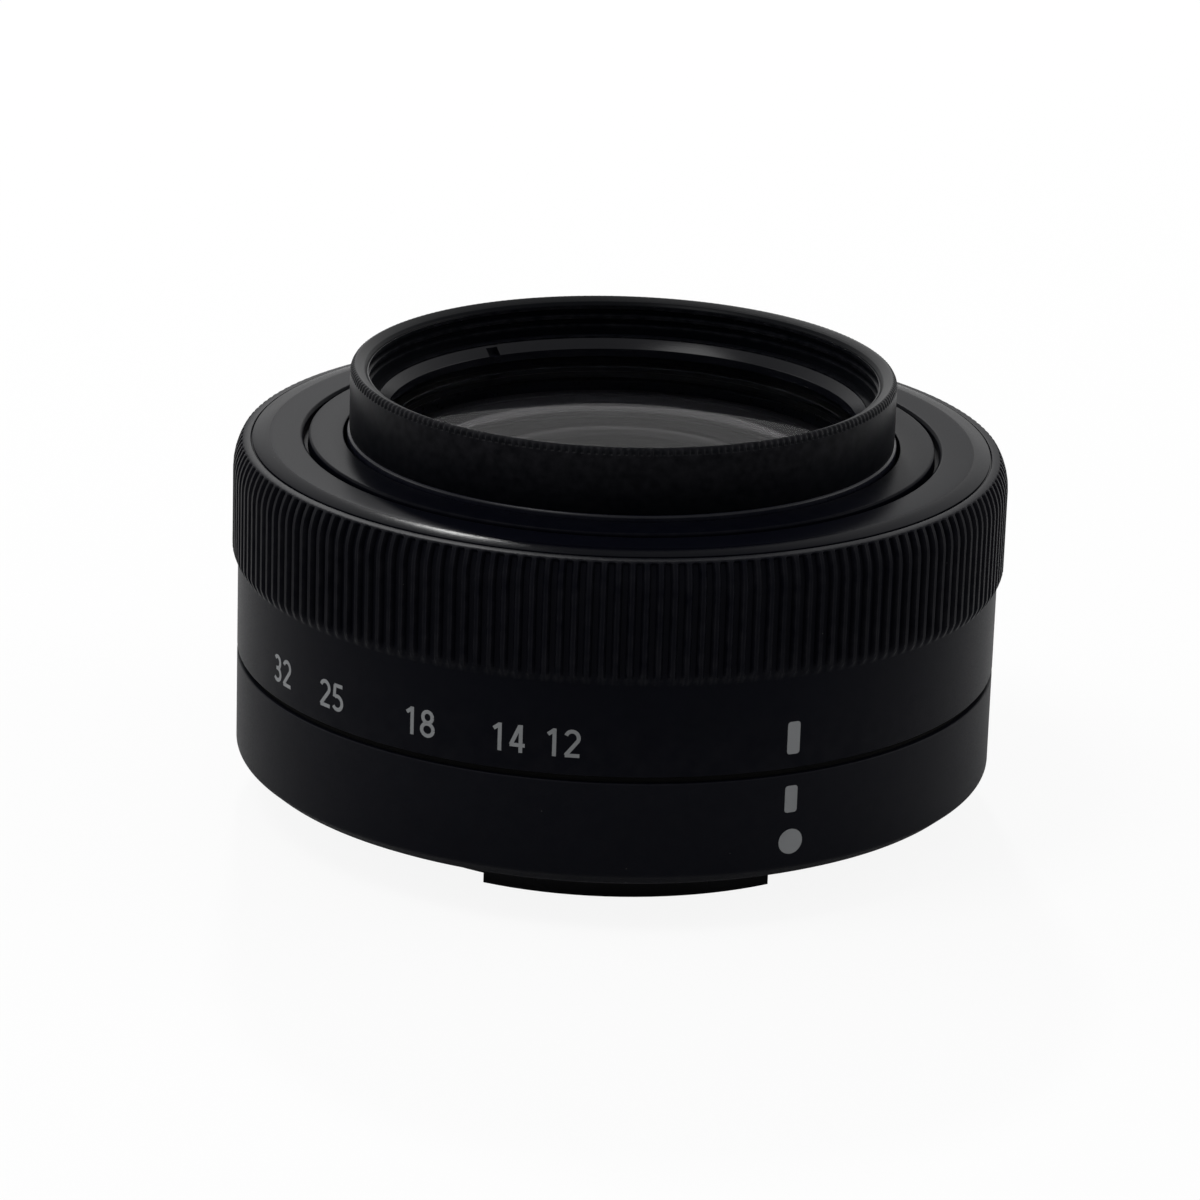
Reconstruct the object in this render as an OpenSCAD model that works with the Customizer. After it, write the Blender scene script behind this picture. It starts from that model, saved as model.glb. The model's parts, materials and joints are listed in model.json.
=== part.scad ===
// Collapsible camera zoom lens with a protective filter on its front thread.
// The optical axis is Z, the mount flange lies at z = 0 and the front points up.

/* [Front thread and filter] */
// Nominal diameter of the front thread
thread_d = 37; // [30:0.5:46]
// Distance from one thread ridge to the next
thread_pitch = 0.75; // [0.5:0.05:1]
// Depth of the ridges of the filter's own front thread
thread_depth = 0.3; // [0.2:0.05:0.45]
// Depth of the ridges of the lens's front thread
lens_thread_depth = 0.5; // [0.3:0.05:0.6]
// Wall of the filter frame outside the thread
filter_wall = 1; // [0.8:0.05:2]
// Height of the filter frame above the rim it screws down on
filter_h = 4.75; // [3.6:0.05:8]
// Length of the filter's male thread
spigot_h = 1.25; // [0.8:0.05:2]
// Width of the ledge that carries the filter glass
glass_ledge = 0.9; // [0.5:0.05:1.5]
// Thickness of the filter glass
filter_glass_t = 1.45; // [1:0.05:2]
// Width of the ring that holds the filter glass
retainer_w = 0.75; // [0.5:0.05:1.5]
// Height of the ring that holds the filter glass
retainer_h = 0.8; // [0.5:0.05:1.5]
// Teeth in the fine knurl around the filter
knurl_count = 240; // [120:10:300]
// Depth of the fine knurl
knurl_depth = 0.15; // [0.05:0.01:0.3]
// Height of the fine knurl
knurl_h = 0.65; // [0.3:0.05:1.5]

/* [Barrel walls] */
// Wall of the inner barrel outside the front thread
inner_wall = 1.15; // [0.8:0.05:2]
// Open gap around the inner barrel at the front
inner_gap = 0.25; // [0.2:0.05:0.6]
// Width of the middle barrel's front face
middle_face = 2.5; // [1.6:0.05:4]
// Wall of the middle barrel's tube
middle_wall = 1; // [0.7:0.05:1.5]
// Wall of the guide barrel with the straight slots
guide_wall = 0.9; // [0.7:0.05:1.5]
// Wall of the cam barrel with the helical slots
cam_wall = 1; // [0.7:0.05:1.5]
// Wall of the fixed sleeve that the zoom ring turns on
sleeve_wall = 1.2; // [0.8:0.05:2]
// Wall of the zoom ring's plain band
band_wall = 1.52; // [1.1:0.02:2.5]
// Radial clearance of every turning or sliding fit between barrels
run = 0.08; // [0.04:0.01:0.1]
// Open gap around the middle barrel at the front
front_gap = 0.35; // [0.2:0.05:0.6]

/* [Outside heights] */
// Height of the base ring's lower edge above the flange
base_lift = 0.25; // [0.1:0.05:0.6]
// Height of the base ring's top edge above the flange
base_top = 7.85; // [6.5:0.05:10]
// Open gap between the base ring and the zoom ring
ring_gap = 0.45; // [0.3:0.05:0.8]
// Height of the zoom ring's plain band
band_h = 6.67; // [5.5:0.05:10]
// Height of the zoom ring's ribbed part and its front edge
grip_h = 9.03; // [8:0.05:12]
// How far the middle barrel's face stands out of the zoom ring
middle_step = 0.1; // [0.05:0.05:1]
// How far the inner barrel's rim stands out of the zoom ring
inner_step = 0.45; // [0.2:0.05:1]
// Height of the base ring's lower chamfer
base_chamfer_h = 0.8; // [0.4:0.05:1.5]
// Width of the base ring's lower chamfer
base_chamfer_w = 0.95; // [0.4:0.05:1.2]

/* [Grip] */
// Ribs around the zoom ring
rib_count = 180; // [90:10:200]
// How far the rib crests stand out of the plain band
rib_rise = 0.41; // [0.2:0.01:0.7]
// Depth of the grooves between the ribs
rib_depth = 0.34; // [0.1:0.02:0.4]
// Height of the slope from the band up to the rib crests
rib_lead = 0.75; // [0.4:0.05:1.2]
// Height over which the rib crests curve inward at the front
crown_h = 2; // [1:0.1:3]
// How far the rib crests curve inward at the front
crown_drop = 0.55; // [0.3:0.05:0.8]
// How far the rib crests end below the cover ring's face
front_drop = 0.45; // [0.3:0.05:0.9]
// Width of the shallow bevel around the cover ring
bevel_w = 1.5; // [0.5:0.1:2.5]
// Depth of the shallow bevel around the cover ring
bevel_drop = 0.25; // [0.1:0.05:0.3]
// Thickness of the flat cover ring on the zoom ring's front
cover_t = 1.1; // [0.7:0.05:1.5]

/* [Mount] */
// How far the bayonet reaches behind the flange
bayonet_h = 3.1; // [2.5:0.05:4]
// Outer radius of the bayonet's tube
bayonet_r = 19; // [17.5:0.1:20]
// Wall of the bayonet's tube
bayonet_wall = 1.4; // [1:0.05:1.6]
// How far the three lugs stand out of the tube
lug_w = 1.6; // [1:0.05:1.9]
// Thickness of the lugs
lug_t = 1.35; // [1:0.05:1.6]
// Angle that each lug covers
lug_angle = 58; // [40:1:70]
// Thickness of the mount flange
flange_t = 1.15; // [1:0.05:1.6]
// Relief of the flange face around the lugs
seat_relief = 0.2; // [0.1:0.05:0.3]
// Head radius of the mount screws
screw_head_r = 1.3; // [1:0.05:1.4]
// Shank radius of the mount screws
screw_r = 0.65; // [0.5:0.05:0.8]
// Contact pins in the row at the rear
contact_count = 11; // [9:1:11]

/* [Zoom travel] */
// Angle that the zoom ring turns through
zoom_angle = 85; // [60:1:95]
// Travel of the middle barrel
middle_travel = 7.4; // [6:0.1:8.5]
// Further travel of the inner barrel out of the middle barrel
inner_travel = 6.8; // [5:0.1:8]
// Travel of the second lens group
group_travel = 6.6; // [5:0.1:8]
// Radius of the follower pins
pin_r = 0.8; // [0.6:0.05:0.9]
// Clearance around a follower pin in a straight slot
slot_clear = 0.05; // [0.03:0.01:0.1]
// Clearance around a follower pin in a helical slot
cam_clear = 0.12; // [0.08:0.01:0.2]

/* [Front group] */
// Width of the flat ring around the front lens
front_ring_w = 3.1; // [2.5:0.05:4.5]
// How far the front lens bulges above the flat ring
front_bulge = 1.15; // [0.6:0.05:1.6]

/* [Iris] */
// Radius of the fully open iris
iris_open_r = 6; // [5:0.1:6.6]
// Thickness of an iris blade
blade_t = 0.08; // [0.04:0.01:0.12]
// Angle that an iris blade spans
blade_span = 95; // [85:1:100]
// Angle from a blade's pivot to its drive pin
drive_step = 14; // [10:0.5:18]
// Angle that the iris ring turns through
iris_turn = 20; // [12:1:22]
// Blade angle for each degree of the iris ring
blade_ratio = 1.25; // [0.8:0.05:1.4]

/* [Stabiliser and focus] */
// Stabiliser travel to each side
shift_travel = 0.35; // [0.2:0.05:0.4]
// Travel of the focus lens
focus_travel = 2.4; // [1.5:0.1:2.6]
// Radius of the focus guide poles
pole_r = 0.5; // [0.4:0.05:0.7]
// Radius of the focus lead screw
lead_r = 0.5; // [0.4:0.05:0.7]
// Clearance of the focus carriage on its poles and screw
pole_clear = 0.05; // [0.03:0.01:0.1]

/* [Hidden] */
$fn = 96;
ball_sides = 360;
ring_sides = 180;
motor_sides = 48;
pin_sides = 32;
small_sides = 24;
tiny = 0.01;
cut_over = 1;
cut_side = 0.4;

// Radii from the front thread outward
thread_r = thread_d / 2;
land_r = thread_r - thread_depth;
lens_land_r = thread_r - lens_thread_depth;
inner_r = thread_r + inner_wall;
inner_tube = 0.8;
inner_bore = inner_r - inner_tube;
lip_r = inner_r + inner_gap;

// Bayonet, rear cell and board from the tube outward
bayonet_bore = bayonet_r - bayonet_wall;
cell_room = 0.7;
cell_r = bayonet_bore - cell_room;
cell_rim_w = 1.5;
cell_rim_r = cell_r + cell_rim_w;
board_room = 0.2;
board_in_r = cell_rim_r + board_room;
board_w = 3.5;
board_r = board_in_r + board_w;
board_gap = 0.3;

// The barrels clear whichever is wider, the front rim or the board
middle_r = max(lip_r + middle_face, board_r + board_gap - run);
middle_bore = middle_r - middle_wall;
guide_bore = middle_r + run;
guide_r = guide_bore + guide_wall;
cam_bore = guide_r + run;
cam_r = cam_bore + cam_wall;
sleeve_bore = cam_r + run;
sleeve_r = sleeve_bore + sleeve_wall;
skirt_bore = sleeve_r + run;
band_r = skirt_bore + band_wall;
crest_r = band_r + rib_rise;
valley_r = crest_r - rib_depth;
cover_inset = 0.84;
cover_r = band_r - cover_inset;
front_hole_r = middle_r + front_gap;

// Heights above the flange
band_z = base_top + ring_gap;
grip_z = band_z + band_h;
ring_top = grip_z + grip_h;
cover_z = ring_top - cover_t;
bevel_z = ring_top - bevel_drop;
crown_z = ring_top - front_drop - crown_h;
middle_top = ring_top + middle_step;
inner_top = ring_top + inner_step;
floor_t = 1.05;
floor_top = flange_t + floor_t;
sleeve_drop = 0.57;
sleeve_top = grip_z - sleeve_drop;
sleeve_room = 0.1;
rear_room = 1.2;
rear_z = floor_top + rear_room;
pin_wall = 0.5;
pin_z = rear_z + pin_r + pin_wall;
guide_room = 0.2;
guide_top = cover_z - guide_room;
rim_t = 0.8;
rim_z = guide_top - rim_t;
cam_lift = 0.8;
cam_z = floor_top + cam_lift;
cam_room = 0.1;
cam_top = rim_z - cam_room;

// Angles of the three sets of follower pins
middle_pins = 0;
group_pins = 40;
inner_pins = 60;
thirds = [0, 120, 240];
pin_inset = 0.2;
pin_end_r = cam_r - pin_inset;
pin_seat = 0.2;
slot_end_room = 0.1;

// Screws from the cam barrel to the zoom ring
drive_angle = 20;
drive_inset = 0.1;
drive_neck = 0.3;
drive_head_r = 1.1;
drive_shank_r = 0.6;
drive_z = (sleeve_top + cover_z) / 2;

// Bayonet and flange
lug_r = bayonet_r + lug_w;
seat_w = 0.6;
seat_r = lug_r + seat_w;
flange_step = 0.1;
flange_r = sleeve_r + flange_step;
flange_fit = 0.15;
screw_circle_r = (seat_r + flange_r) / 2;
lug_starts = [5, 125, 245];
screw_angles = [45, 135, 225, 315];
screw_head_h = 0.65;
screw_sink = 0.05;
recess_l = 1.1;
recess_w = 0.28;
recess_h = 0.4;
lock_angle = 180;
lock_l = 3.2;
lock_w = 1.8;

// Rear cell, cover and contacts
cell_wall = 1.3;
cell_floor = -1.6;
cell_floor_t = 1;
cell_floor_top = cell_floor + cell_floor_t;
cell_rim_t = 0.7;
rear_cover_t = 1.2;
rear_cover_z = cell_floor - rear_cover_t;
cover_fit = 0.15;
rear_cover_r = bayonet_bore - cover_fit;
window_x = 13.6;
window_y = 10.6;
block_w = 3.25;
block_in_r = rear_cover_r - block_w;
block_start = 80;
block_angle = 70;
block_gap = 1;
block_lift = 0.2;
contact_circle_r = (block_in_r + rear_cover_r) / 2;
contact_step = 6;
contact_r = 0.55;
contact_lift = 0.05;
contact_z = contact_lift - bayonet_h;
contact_roof = 0.4;
contact_top = cell_floor - contact_roof;
rear_lens_r = 7.6;
rear_bulge = 0.3;
rear_ball = 40;

// Board, flexible circuit and encoder
board_t = 0.4;
chip_h = 0.5;
chip_size = 2.4;
chip_angles = [70, 95, 200, 330];
flex_t = 0.2;
flex_start = 95;
flex_angle = 16;
strip_t = 0.2;
brush_gap = 0.05;
brush_inset = 0.2;
encoder_start = 92;
brush_angle = 8;

// Seal, grip and thread shapes, with shares of one rib or of one thread pitch
seal_inset = 0.4;
seal_gap = 0.05;
crown_steps = 6;
rib_start = 0.2;
rib_end = 0.1;
rib_crest = 0.22;
rib_valley = 0.14;
land_end = 0.3;
slope_end = 0.5;
crest_end = 0.8;

// Middle and inner barrel
lip_t = 1.1;
inner_flange = 0.7;

// Front group
shelf_drop = 5.05;
shelf_z = inner_top - shelf_drop;
shelf_t = 1;
cell_head = 0.7;
cell_top = shelf_z + shelf_t + cell_head;
front_ring_t = 0.65;
front_ring_top = cell_top + front_ring_t;
front_ring_fit = 0.15;
front_ring_r = lens_land_r - front_ring_fit;
glass_margin = 0.15;
glass_show_r = front_ring_r - front_ring_w - glass_margin;
glass_rim = 0.4;
glass_edge_r = glass_show_r + glass_rim;
g1_inset = 0.9;
g1_r = front_ring_r - g1_inset;
g1_fit = 0.1;
first_vertex = front_ring_top + front_bulge;
first_front_ball = (pow(glass_show_r, 2) + pow(front_bulge, 2)) / (2 * front_bulge);
first_t = 1.5;
first_rear_vertex = first_vertex - first_t;
first_ledge = 4;
first_bore = glass_edge_r - first_ledge;
first_curve = 1.55;
first_rear_ball = first_curve * first_bore;
first_seat = first_rear_vertex - first_rear_ball + sqrt(pow(first_rear_ball, 2) - pow(first_bore, 2));
second_inset = 0.4;
second_r = first_bore - second_inset;
second_gap = 0.2;
second_front_ball = 60;
second_drop = 1.16;
second_front_vertex = first_seat - second_drop;
second_rear_ball = 24;
second_t = 0.9;
second_rear_vertex = second_front_vertex - second_t;
second_ledge = 2.3;
second_bore = second_r - second_ledge;
second_seat = second_rear_vertex - second_rear_ball + sqrt(pow(second_rear_ball, 2) - pow(second_bore, 2));
third_rim = 0.4;
third_r = second_bore + third_rim;
third_ball = 30;
third_drop = 0.5;
third_vertex = second_rear_vertex - third_drop;
third_t = 1.6;
third_z = third_vertex - third_t;
g1_floor = 0.2;
g1_z = third_z - g1_floor;

// Second group, built up from its rear face
g2_lift = 0.1;
g2_z = pin_z + pin_r + g2_lift;
g2_room = 0.85;
g2_r = inner_bore - g2_room;
g2_wall = 1.4;
g2_bore = g2_r - g2_wall;
group_pin_seat = 0.5;
group_pin_r = inner_r + group_pin_seat;
arm_room = 0.3;
arm_r = guide_bore - arm_room;
arm_root = 0.2;
arm_w = 2.6;
arm_wall = 0.35;
arm_z = pin_z - pin_r - arm_wall;
arm_gap = 0.25;
notch_room = 1;
notch_top = g2_z + notch_room;
ois_cover_t = 0.4;
key_l = 6;
key_w = 0.8;
key_h = 0.35;
key_inset = 7.6;
key_y = g2_bore - key_inset;
key_clear = 0.05;
key_room = 0.1;
keyway_w = key_w + 2 * key_clear;
keyway_l = key_l + 2 * (shift_travel + key_room);
plate_gap = 0.05;
yaw_z = g2_z + ois_cover_t + plate_gap;
yaw_t = 0.7;
yaw_inset = 5;
yaw_r = g2_bore - yaw_inset;
yaw_window = 6.6;
pitch_z = yaw_z + yaw_t + plate_gap;
pitch_t = 1.2;
pitch_inset = 1.2;
pitch_r = yaw_r - pitch_inset;
doublet_r = 5.4;
doublet_wall = 0.5;
doublet_top = pitch_z + pitch_t;
doublet_front_ball = 20;
doublet_ball = 12;
doublet_edge = 0.5;
doublet_joint = yaw_z + doublet_edge;
magnet_h = 0.4;
magnet_l = 4;
magnet_w = 1.8;
magnet_room = 0.15;
plate_room = 1.7;
plate_z = pitch_z + pitch_t + plate_room;
plate_t = 0.45;
fourth_r = 6.4;
fourth_wall = 1;
magnet_y = fourth_r + fourth_wall + shift_travel + magnet_room + magnet_w / 2;
fourth_lift = 0.3;
fourth_z = pitch_z + pitch_t + fourth_lift;
fourth_front_ball = 30;
fourth_rear_ball = 24;
coil_h = 0.6;
motor_r = 1.7;
blade_count = 7;
ring_teeth = 72;
pinion_teeth = 12;
motor_room = 0.2;
pinion_y = g2_bore - motor_r - motor_room;
gear_module = 2 * pinion_y / (ring_teeth + pinion_teeth);
ring_pitch_r = gear_module * ring_teeth / 2;
pinion_pitch_r = gear_module * pinion_teeth / 2;
pivot_inset = 2.65;
pivot_r = ring_pitch_r - pivot_inset;
pivot_lift = 0.05;
blade_margin = 0.55;
blade_w = pivot_r - blade_margin - iris_open_r;
blade_lift = 0.07;
blade_z = plate_z + plate_t + blade_lift;
blade_gap = 0.03;
blade_pitch = blade_t + blade_gap;
ring_lift = 0.06;
iris_ring_z = blade_z + blade_count * blade_pitch + ring_lift;
iris_ring_t = 0.35;
iris_cover_room = 0.1;
iris_cover_z = iris_ring_z + iris_ring_t + iris_cover_room;
iris_cover_t = 0.3;
hub_rim = 0.15;
hub_r = iris_open_r + hub_rim;
hub_lip = 0.25;
hub_bore = iris_open_r - hub_lip;
pivot_pin_r = 0.4;
drive_pin_r = 0.35;
pin_fit = 0.05;
drive_fit = 0.08;
tab_r = 0.75;
pocket_room = 0.6;
pinion_pocket_r = pinion_pitch_r + pocket_room;
pocket_drop = 0.1;
shaft_r = 0.4;
shaft_l = 0.4;
shaft_bite = 0.1;
shaft_seat = 0.5;
motor_h = 3.4;
pressure_angle = 25;
backlash = 0.06;
tooth_root = 1.2;
tooth_tip = 0.9;
tooth_steps = 5;
teeth_before = 8;
teeth_after = 3;
ring_rim = 0.2;
ring_bite = 1;
ring_steps = 8;
share_step = 0.01;
end_steps = 6;

// Focus unit
carriage_lift = 0.3;
carriage_z = cell_floor_top + carriage_lift;
carriage_h = 2.8;
carriage_r = 7.4;
focus_lens_r = 5.8;
focus_seat = 0.1;
focus_z = carriage_z + focus_seat;
focus_t = 1.4;
focus_top = focus_z + focus_t;
focus_front_dip = 0.5;
focus_front_ball = 30;
focus_rear_dip = 0.4;
focus_rear_ball = 40;
arm_half = 1.2;
arm_bite = 0.5;
arm_t = 1;
carriage_arm_z = carriage_z + carriage_h - arm_t;
focus_motor_r = 2.2;
cell_bore = cell_r - cell_wall;
lead_inset = 1.2;
lead_y = cell_bore - focus_motor_r - lead_inset;
pole_inset = 5;
pole_x = cell_bore - pole_inset;
pole_seat = 0.4;
pole_z = cell_floor + pole_seat;
focus_motor_room = 0.15;
focus_motor_h = carriage_arm_z - cell_floor_top - focus_motor_room;
pole_end = 0.1;
pole_top = carriage_z + carriage_h + focus_travel + pole_end;

// Filter
filter_r = thread_r + filter_wall;
filter_top = inner_top + filter_h;
glass_drop = 0.3;
glass_z = inner_top - glass_drop;
spigot_fit = 0.1;
spigot_r = lens_land_r - spigot_fit;
glass_wall = 0.4;
filter_glass_r = spigot_r - glass_wall;
retainer_z = glass_z + filter_glass_t;
thread_room = 0.1;
thread_z = retainer_z + retainer_h + thread_room;
knurl_drop = 0.25;
knurl_z = filter_top - knurl_drop - knurl_h;
knurl_crest = 0.2;
knurl_valley = 0.15;
notch_angles = [123, 303];
notch_w = 1.2;

// Helpers

module tube(r_in, r_out, z_low, z_high) {
    translate([0, 0, z_low])
        difference() {
            cylinder(r = r_out, h = z_high - z_low);
            translate([0, 0, -cut_over])
                cylinder(r = r_in, h = z_high - z_low + 2 * cut_over);
        }
}

module disc(r, z_low, z_high) {
    translate([0, 0, z_low])
        cylinder(r = r, h = z_high - z_low);
}

module arc_block(r_in, r_out, z_low, z_high, start, angle) {
    rotate([0, 0, start])
        translate([0, 0, z_low])
            rotate_extrude(angle = angle)
                translate([r_in, 0])
                    square([r_out - r_in, z_high - z_low]);
}

// A ball whose highest point, or lowest point, lies on the axis at the given height
module ball_below(vertex, r) {
    translate([0, 0, vertex - r])
        sphere(r = r, $fn = ball_sides);
}

module ball_above(vertex, r) {
    translate([0, 0, vertex + r])
        sphere(r = r, $fn = ball_sides);
}

module radial_pin(angle, r_in, r_out, z, r) {
    rotate([0, 0, angle])
        translate([r_in, 0, z])
            rotate([0, 90, 0])
                cylinder(r = r, h = r_out - r_in, $fn = pin_sides);
}

// A radial cut with straight sides, for slots and notches in the barrels
module radial_cut(angle, half_width, r_in, r_out, z_low, z_high) {
    rotate([0, 0, angle])
        translate([r_in, -half_width, z_low])
            cube([r_out - r_in, 2 * half_width, z_high - z_low]);
}

function ring_point(r, angle, z) = [r * cos(angle), r * sin(angle), z];

// A helical slot cutter that rises as the angle falls
module helical_cut(start, rise) {
    r_in = cam_bore - cut_side;
    r_out = cam_r + cut_side;
    slope = atan(rise / (zoom_angle * PI / 180 * cam_r));
    half_h = pin_r / cos(slope) + cam_clear;
    over = (pin_r + cam_clear + slot_end_room) / cam_bore * 180 / PI;
    steps = 24;
    low = start - zoom_angle - over;
    span = zoom_angle + 2 * over;
    points = [
        for (i = [0:steps])
            let (
                angle = low + span * i / steps,
                z = pin_z + rise * (start - angle) / zoom_angle
            )
            each [
                ring_point(r_in, angle, z - half_h),
                ring_point(r_out, angle, z - half_h),
                ring_point(r_out, angle, z + half_h),
                ring_point(r_in, angle, z + half_h)
            ]
    ];
    sides = [
        for (i = [0:steps - 1])
            for (k = [0:3])
                let (
                    near = 4 * i + k,
                    next = 4 * i + (k + 1) % 4
                )
                each [[near, next, next + 4], [near, next + 4, near + 4]]
    ];
    last = 4 * steps;
    caps = [
        [0, 3, 2],
        [0, 2, 1],
        [last, last + 1, last + 2],
        [last, last + 2, last + 3]
    ];
    polyhedron(points = points, faces = concat(sides, caps));
}

function reversed(points) = [for (i = [len(points) - 1:-1:0]) points[i]];

// Points of a ridged thread wall, from the given height upward
function thread_wall(z, ridges, land) = [
    for (i = [0:ridges - 1])
        let (low = z + i * thread_pitch)
        each [
            [land, low],
            [land, low + land_end * thread_pitch],
            [thread_r, low + slope_end * thread_pitch],
            [thread_r, low + crest_end * thread_pitch]
        ]
];

// A toothed ring outline with flat crests and flat valleys
function toothed_outline(count, crest, valley, crest_share, valley_share) = [
    for (i = [0:count - 1])
        let (
            pitch = 360 / count,
            middle = i * pitch
        )
        each [
            [crest * cos(middle - crest_share * pitch), crest * sin(middle - crest_share * pitch)],
            [crest * cos(middle + crest_share * pitch), crest * sin(middle + crest_share * pitch)],
            [
                valley * cos(middle + (0.5 - valley_share) * pitch),
                valley * sin(middle + (0.5 - valley_share) * pitch)
            ],
            [
                valley * cos(middle + (0.5 + valley_share) * pitch),
                valley * sin(middle + (0.5 + valley_share) * pitch)
            ]
        ]
];

// Mount and rear

module screw_shape(angle) {
    rotate([0, 0, angle])
        translate([screw_circle_r, 0, 0]) {
            translate([0, 0, screw_sink])
                cylinder(r1 = screw_head_r, r2 = screw_r, h = screw_head_h, $fn = pin_sides);
            translate([0, 0, screw_sink + screw_head_h - tiny])
                cylinder(r = screw_r, h = floor_top - screw_head_h - 2 * screw_sink, $fn = pin_sides);
        }
}

module screw_hole(angle) {
    screw_shape(angle);
    rotate([0, 0, angle])
        translate([screw_circle_r, 0, -cut_over])
            cylinder(r = screw_head_r, h = cut_over + screw_sink + tiny, $fn = pin_sides);
}

module mount_ring() {
    color([0.14, 0.14, 0.15])
        difference() {
            union() {
                tube(bayonet_bore, flange_r, 0, flange_t);
                tube(bayonet_bore, bayonet_r, -bayonet_h, tiny);
                for (start = lug_starts)
                    arc_block(bayonet_r - tiny, lug_r, -bayonet_h, lug_t - bayonet_h, start, lug_angle);
            }
            tube(bayonet_r, seat_r, -tiny, seat_relief);
            for (angle = screw_angles)
                screw_hole(angle);
            rotate([0, 0, lock_angle])
                translate([screw_circle_r - lock_w / 2, -lock_l / 2, -cut_over])
                    cube([lock_w, lock_l, cut_over + flange_t / 2]);
        }
}

module mount_screws() {
    color([0.6, 0.6, 0.62])
        for (angle = screw_angles)
            difference() {
                screw_shape(angle);
                rotate([0, 0, angle])
                    translate([screw_circle_r, 0, recess_h / 2])
                        for (turn = [0, 90])
                            rotate([0, 0, turn])
                                cube([recess_l, recess_w, recess_h], center = true);
            }
}

module contact_places(r, z_low, z_high) {
    middle = block_start + block_angle / 2;
    for (i = [0:contact_count - 1])
        rotate([0, 0, middle + (i - (contact_count - 1) / 2) * contact_step])
            translate([contact_circle_r, 0, z_low])
                cylinder(r = r, h = z_high - z_low, $fn = small_sides);
}

module contact_block() {
    color([0.08, 0.08, 0.08])
        difference() {
            arc_block(
                block_in_r, rear_cover_r, block_lift - bayonet_h, cell_floor, block_start, block_angle
            );
            contact_places(contact_r, -bayonet_h, contact_top);
        }
}

module contact_pins() {
    color([0.85, 0.68, 0.3])
        contact_places(contact_r, contact_z, contact_top);
}

module rear_cover() {
    color([0.05, 0.05, 0.05])
        difference() {
            disc(rear_cover_r, rear_cover_z, cell_floor);
            translate([-window_x / 2, -window_y / 2, rear_cover_z - cut_over])
                cube([window_x, window_y, rear_cover_t + 2 * cut_over]);
            arc_block(
                block_in_r - cover_fit,
                rear_cover_r + cut_over,
                rear_cover_z - cut_over,
                cell_floor + cut_over,
                block_start - block_gap,
                block_angle + 2 * block_gap
            );
        }
}

module rear_cell() {
    color([0.1, 0.1, 0.11])
        difference() {
            union() {
                disc(cell_r, cell_floor, cell_floor_top);
                tube(cell_bore, cell_r, cell_floor_top - tiny, floor_top + cell_rim_t);
                tube(cell_r - tiny, cell_rim_r, floor_top, floor_top + cell_rim_t);
            }
            disc(rear_lens_r, cell_floor - cut_over, cell_floor_top + cut_over);
            for (side = [-1, 1])
                translate([side * pole_x, 0, pole_z])
                    cylinder(r = pole_r, h = cell_floor_t + cut_over, $fn = pin_sides);
        }
}

module rear_lens() {
    color([0.7, 0.75, 0.8])
        intersection() {
            disc(rear_lens_r, rear_cover_z, cell_floor_top);
            ball_above(cell_floor - rear_bulge, rear_ball);
        }
}

module circuit_board() {
    chip_x = (board_in_r + board_r - chip_size) / 2;
    color([0.1, 0.3, 0.15]) {
        tube(board_in_r, board_r, floor_top, floor_top + board_t);
        for (angle = chip_angles)
            rotate([0, 0, angle])
                translate([chip_x, -chip_size / 2, floor_top + board_t - tiny])
                    cube([chip_size, chip_size, chip_h + tiny]);
    }
}

module flex_circuit() {
    strip_r = (cell_r + cell_rim_r) / 2;
    color([0.6, 0.35, 0.1])
        arc_block(strip_r, strip_r + flex_t, floor_top + cell_rim_t, g2_z, flex_start, flex_angle);
}

// Fixed barrels

module fixed_barrel() {
    color([0.13, 0.13, 0.14])
        difference() {
            union() {
                tube(cell_r, sleeve_r, flange_t, floor_top);
                tube(sleeve_bore, sleeve_r, floor_top - tiny, sleeve_top);
            }
            for (angle = screw_angles)
                screw_shape(angle);
        }
}

module base_ring() {
    color([0.1, 0.1, 0.1])
        rotate_extrude($fn = ring_sides)
            polygon([
                [flange_r + flange_fit, base_lift],
                [band_r - base_chamfer_w, base_lift],
                [band_r, base_lift + base_chamfer_h],
                [band_r, base_top],
                [sleeve_r, base_top],
                [sleeve_r, flange_t],
                [flange_r + flange_fit, flange_t]
            ]);
}

module guide_barrel() {
    half = pin_r + slot_clear;
    low = pin_z - half;
    color([0.2, 0.2, 0.21])
        difference() {
            union() {
                tube(guide_bore, guide_r, floor_top, guide_top);
                tube(guide_bore, pin_end_r, rim_z, guide_top);
            }
            for (third = thirds) {
                radial_cut(
                    third + middle_pins, half, middle_bore, cam_bore, low, pin_z + middle_travel + half
                );
                radial_cut(
                    third + group_pins, half, middle_bore, cam_bore, low, pin_z + group_travel + half
                );
                radial_cut(
                    third + inner_pins,
                    half,
                    middle_bore,
                    cam_bore,
                    low,
                    pin_z + middle_travel + inner_travel + half
                );
            }
        }
}

module ring_seal() {
    color([0.03, 0.03, 0.03])
        tube(sleeve_r, band_r - seal_inset, base_top, band_z - seal_gap);
}

module encoder_strip() {
    color([0.7, 0.55, 0.2])
        arc_block(
            cam_bore,
            cam_r,
            floor_top,
            floor_top + strip_t,
            encoder_start,
            zoom_angle + 2 * brush_angle
        );
}

module focus_motor() {
    color([0.5, 0.5, 0.52])
        translate([0, -lead_y, cell_floor_top])
            cylinder(r = focus_motor_r, h = focus_motor_h, $fn = motor_sides);
}

module guide_poles() {
    color([0.7, 0.7, 0.72])
        for (side = [-1, 1])
            translate([side * pole_x, 0, pole_z])
                cylinder(r = pole_r, h = pole_top - pole_z, $fn = pin_sides);
}

// Zoom ring and cam

function crown_edge(share) =
    let (ball = (pow(crown_h, 2) + pow(crown_drop, 2)) / (2 * crown_drop))
    [
        crest_r - ball + sqrt(pow(ball, 2) - pow(share * crown_h, 2)),
        crown_z + share * crown_h
    ];

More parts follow.
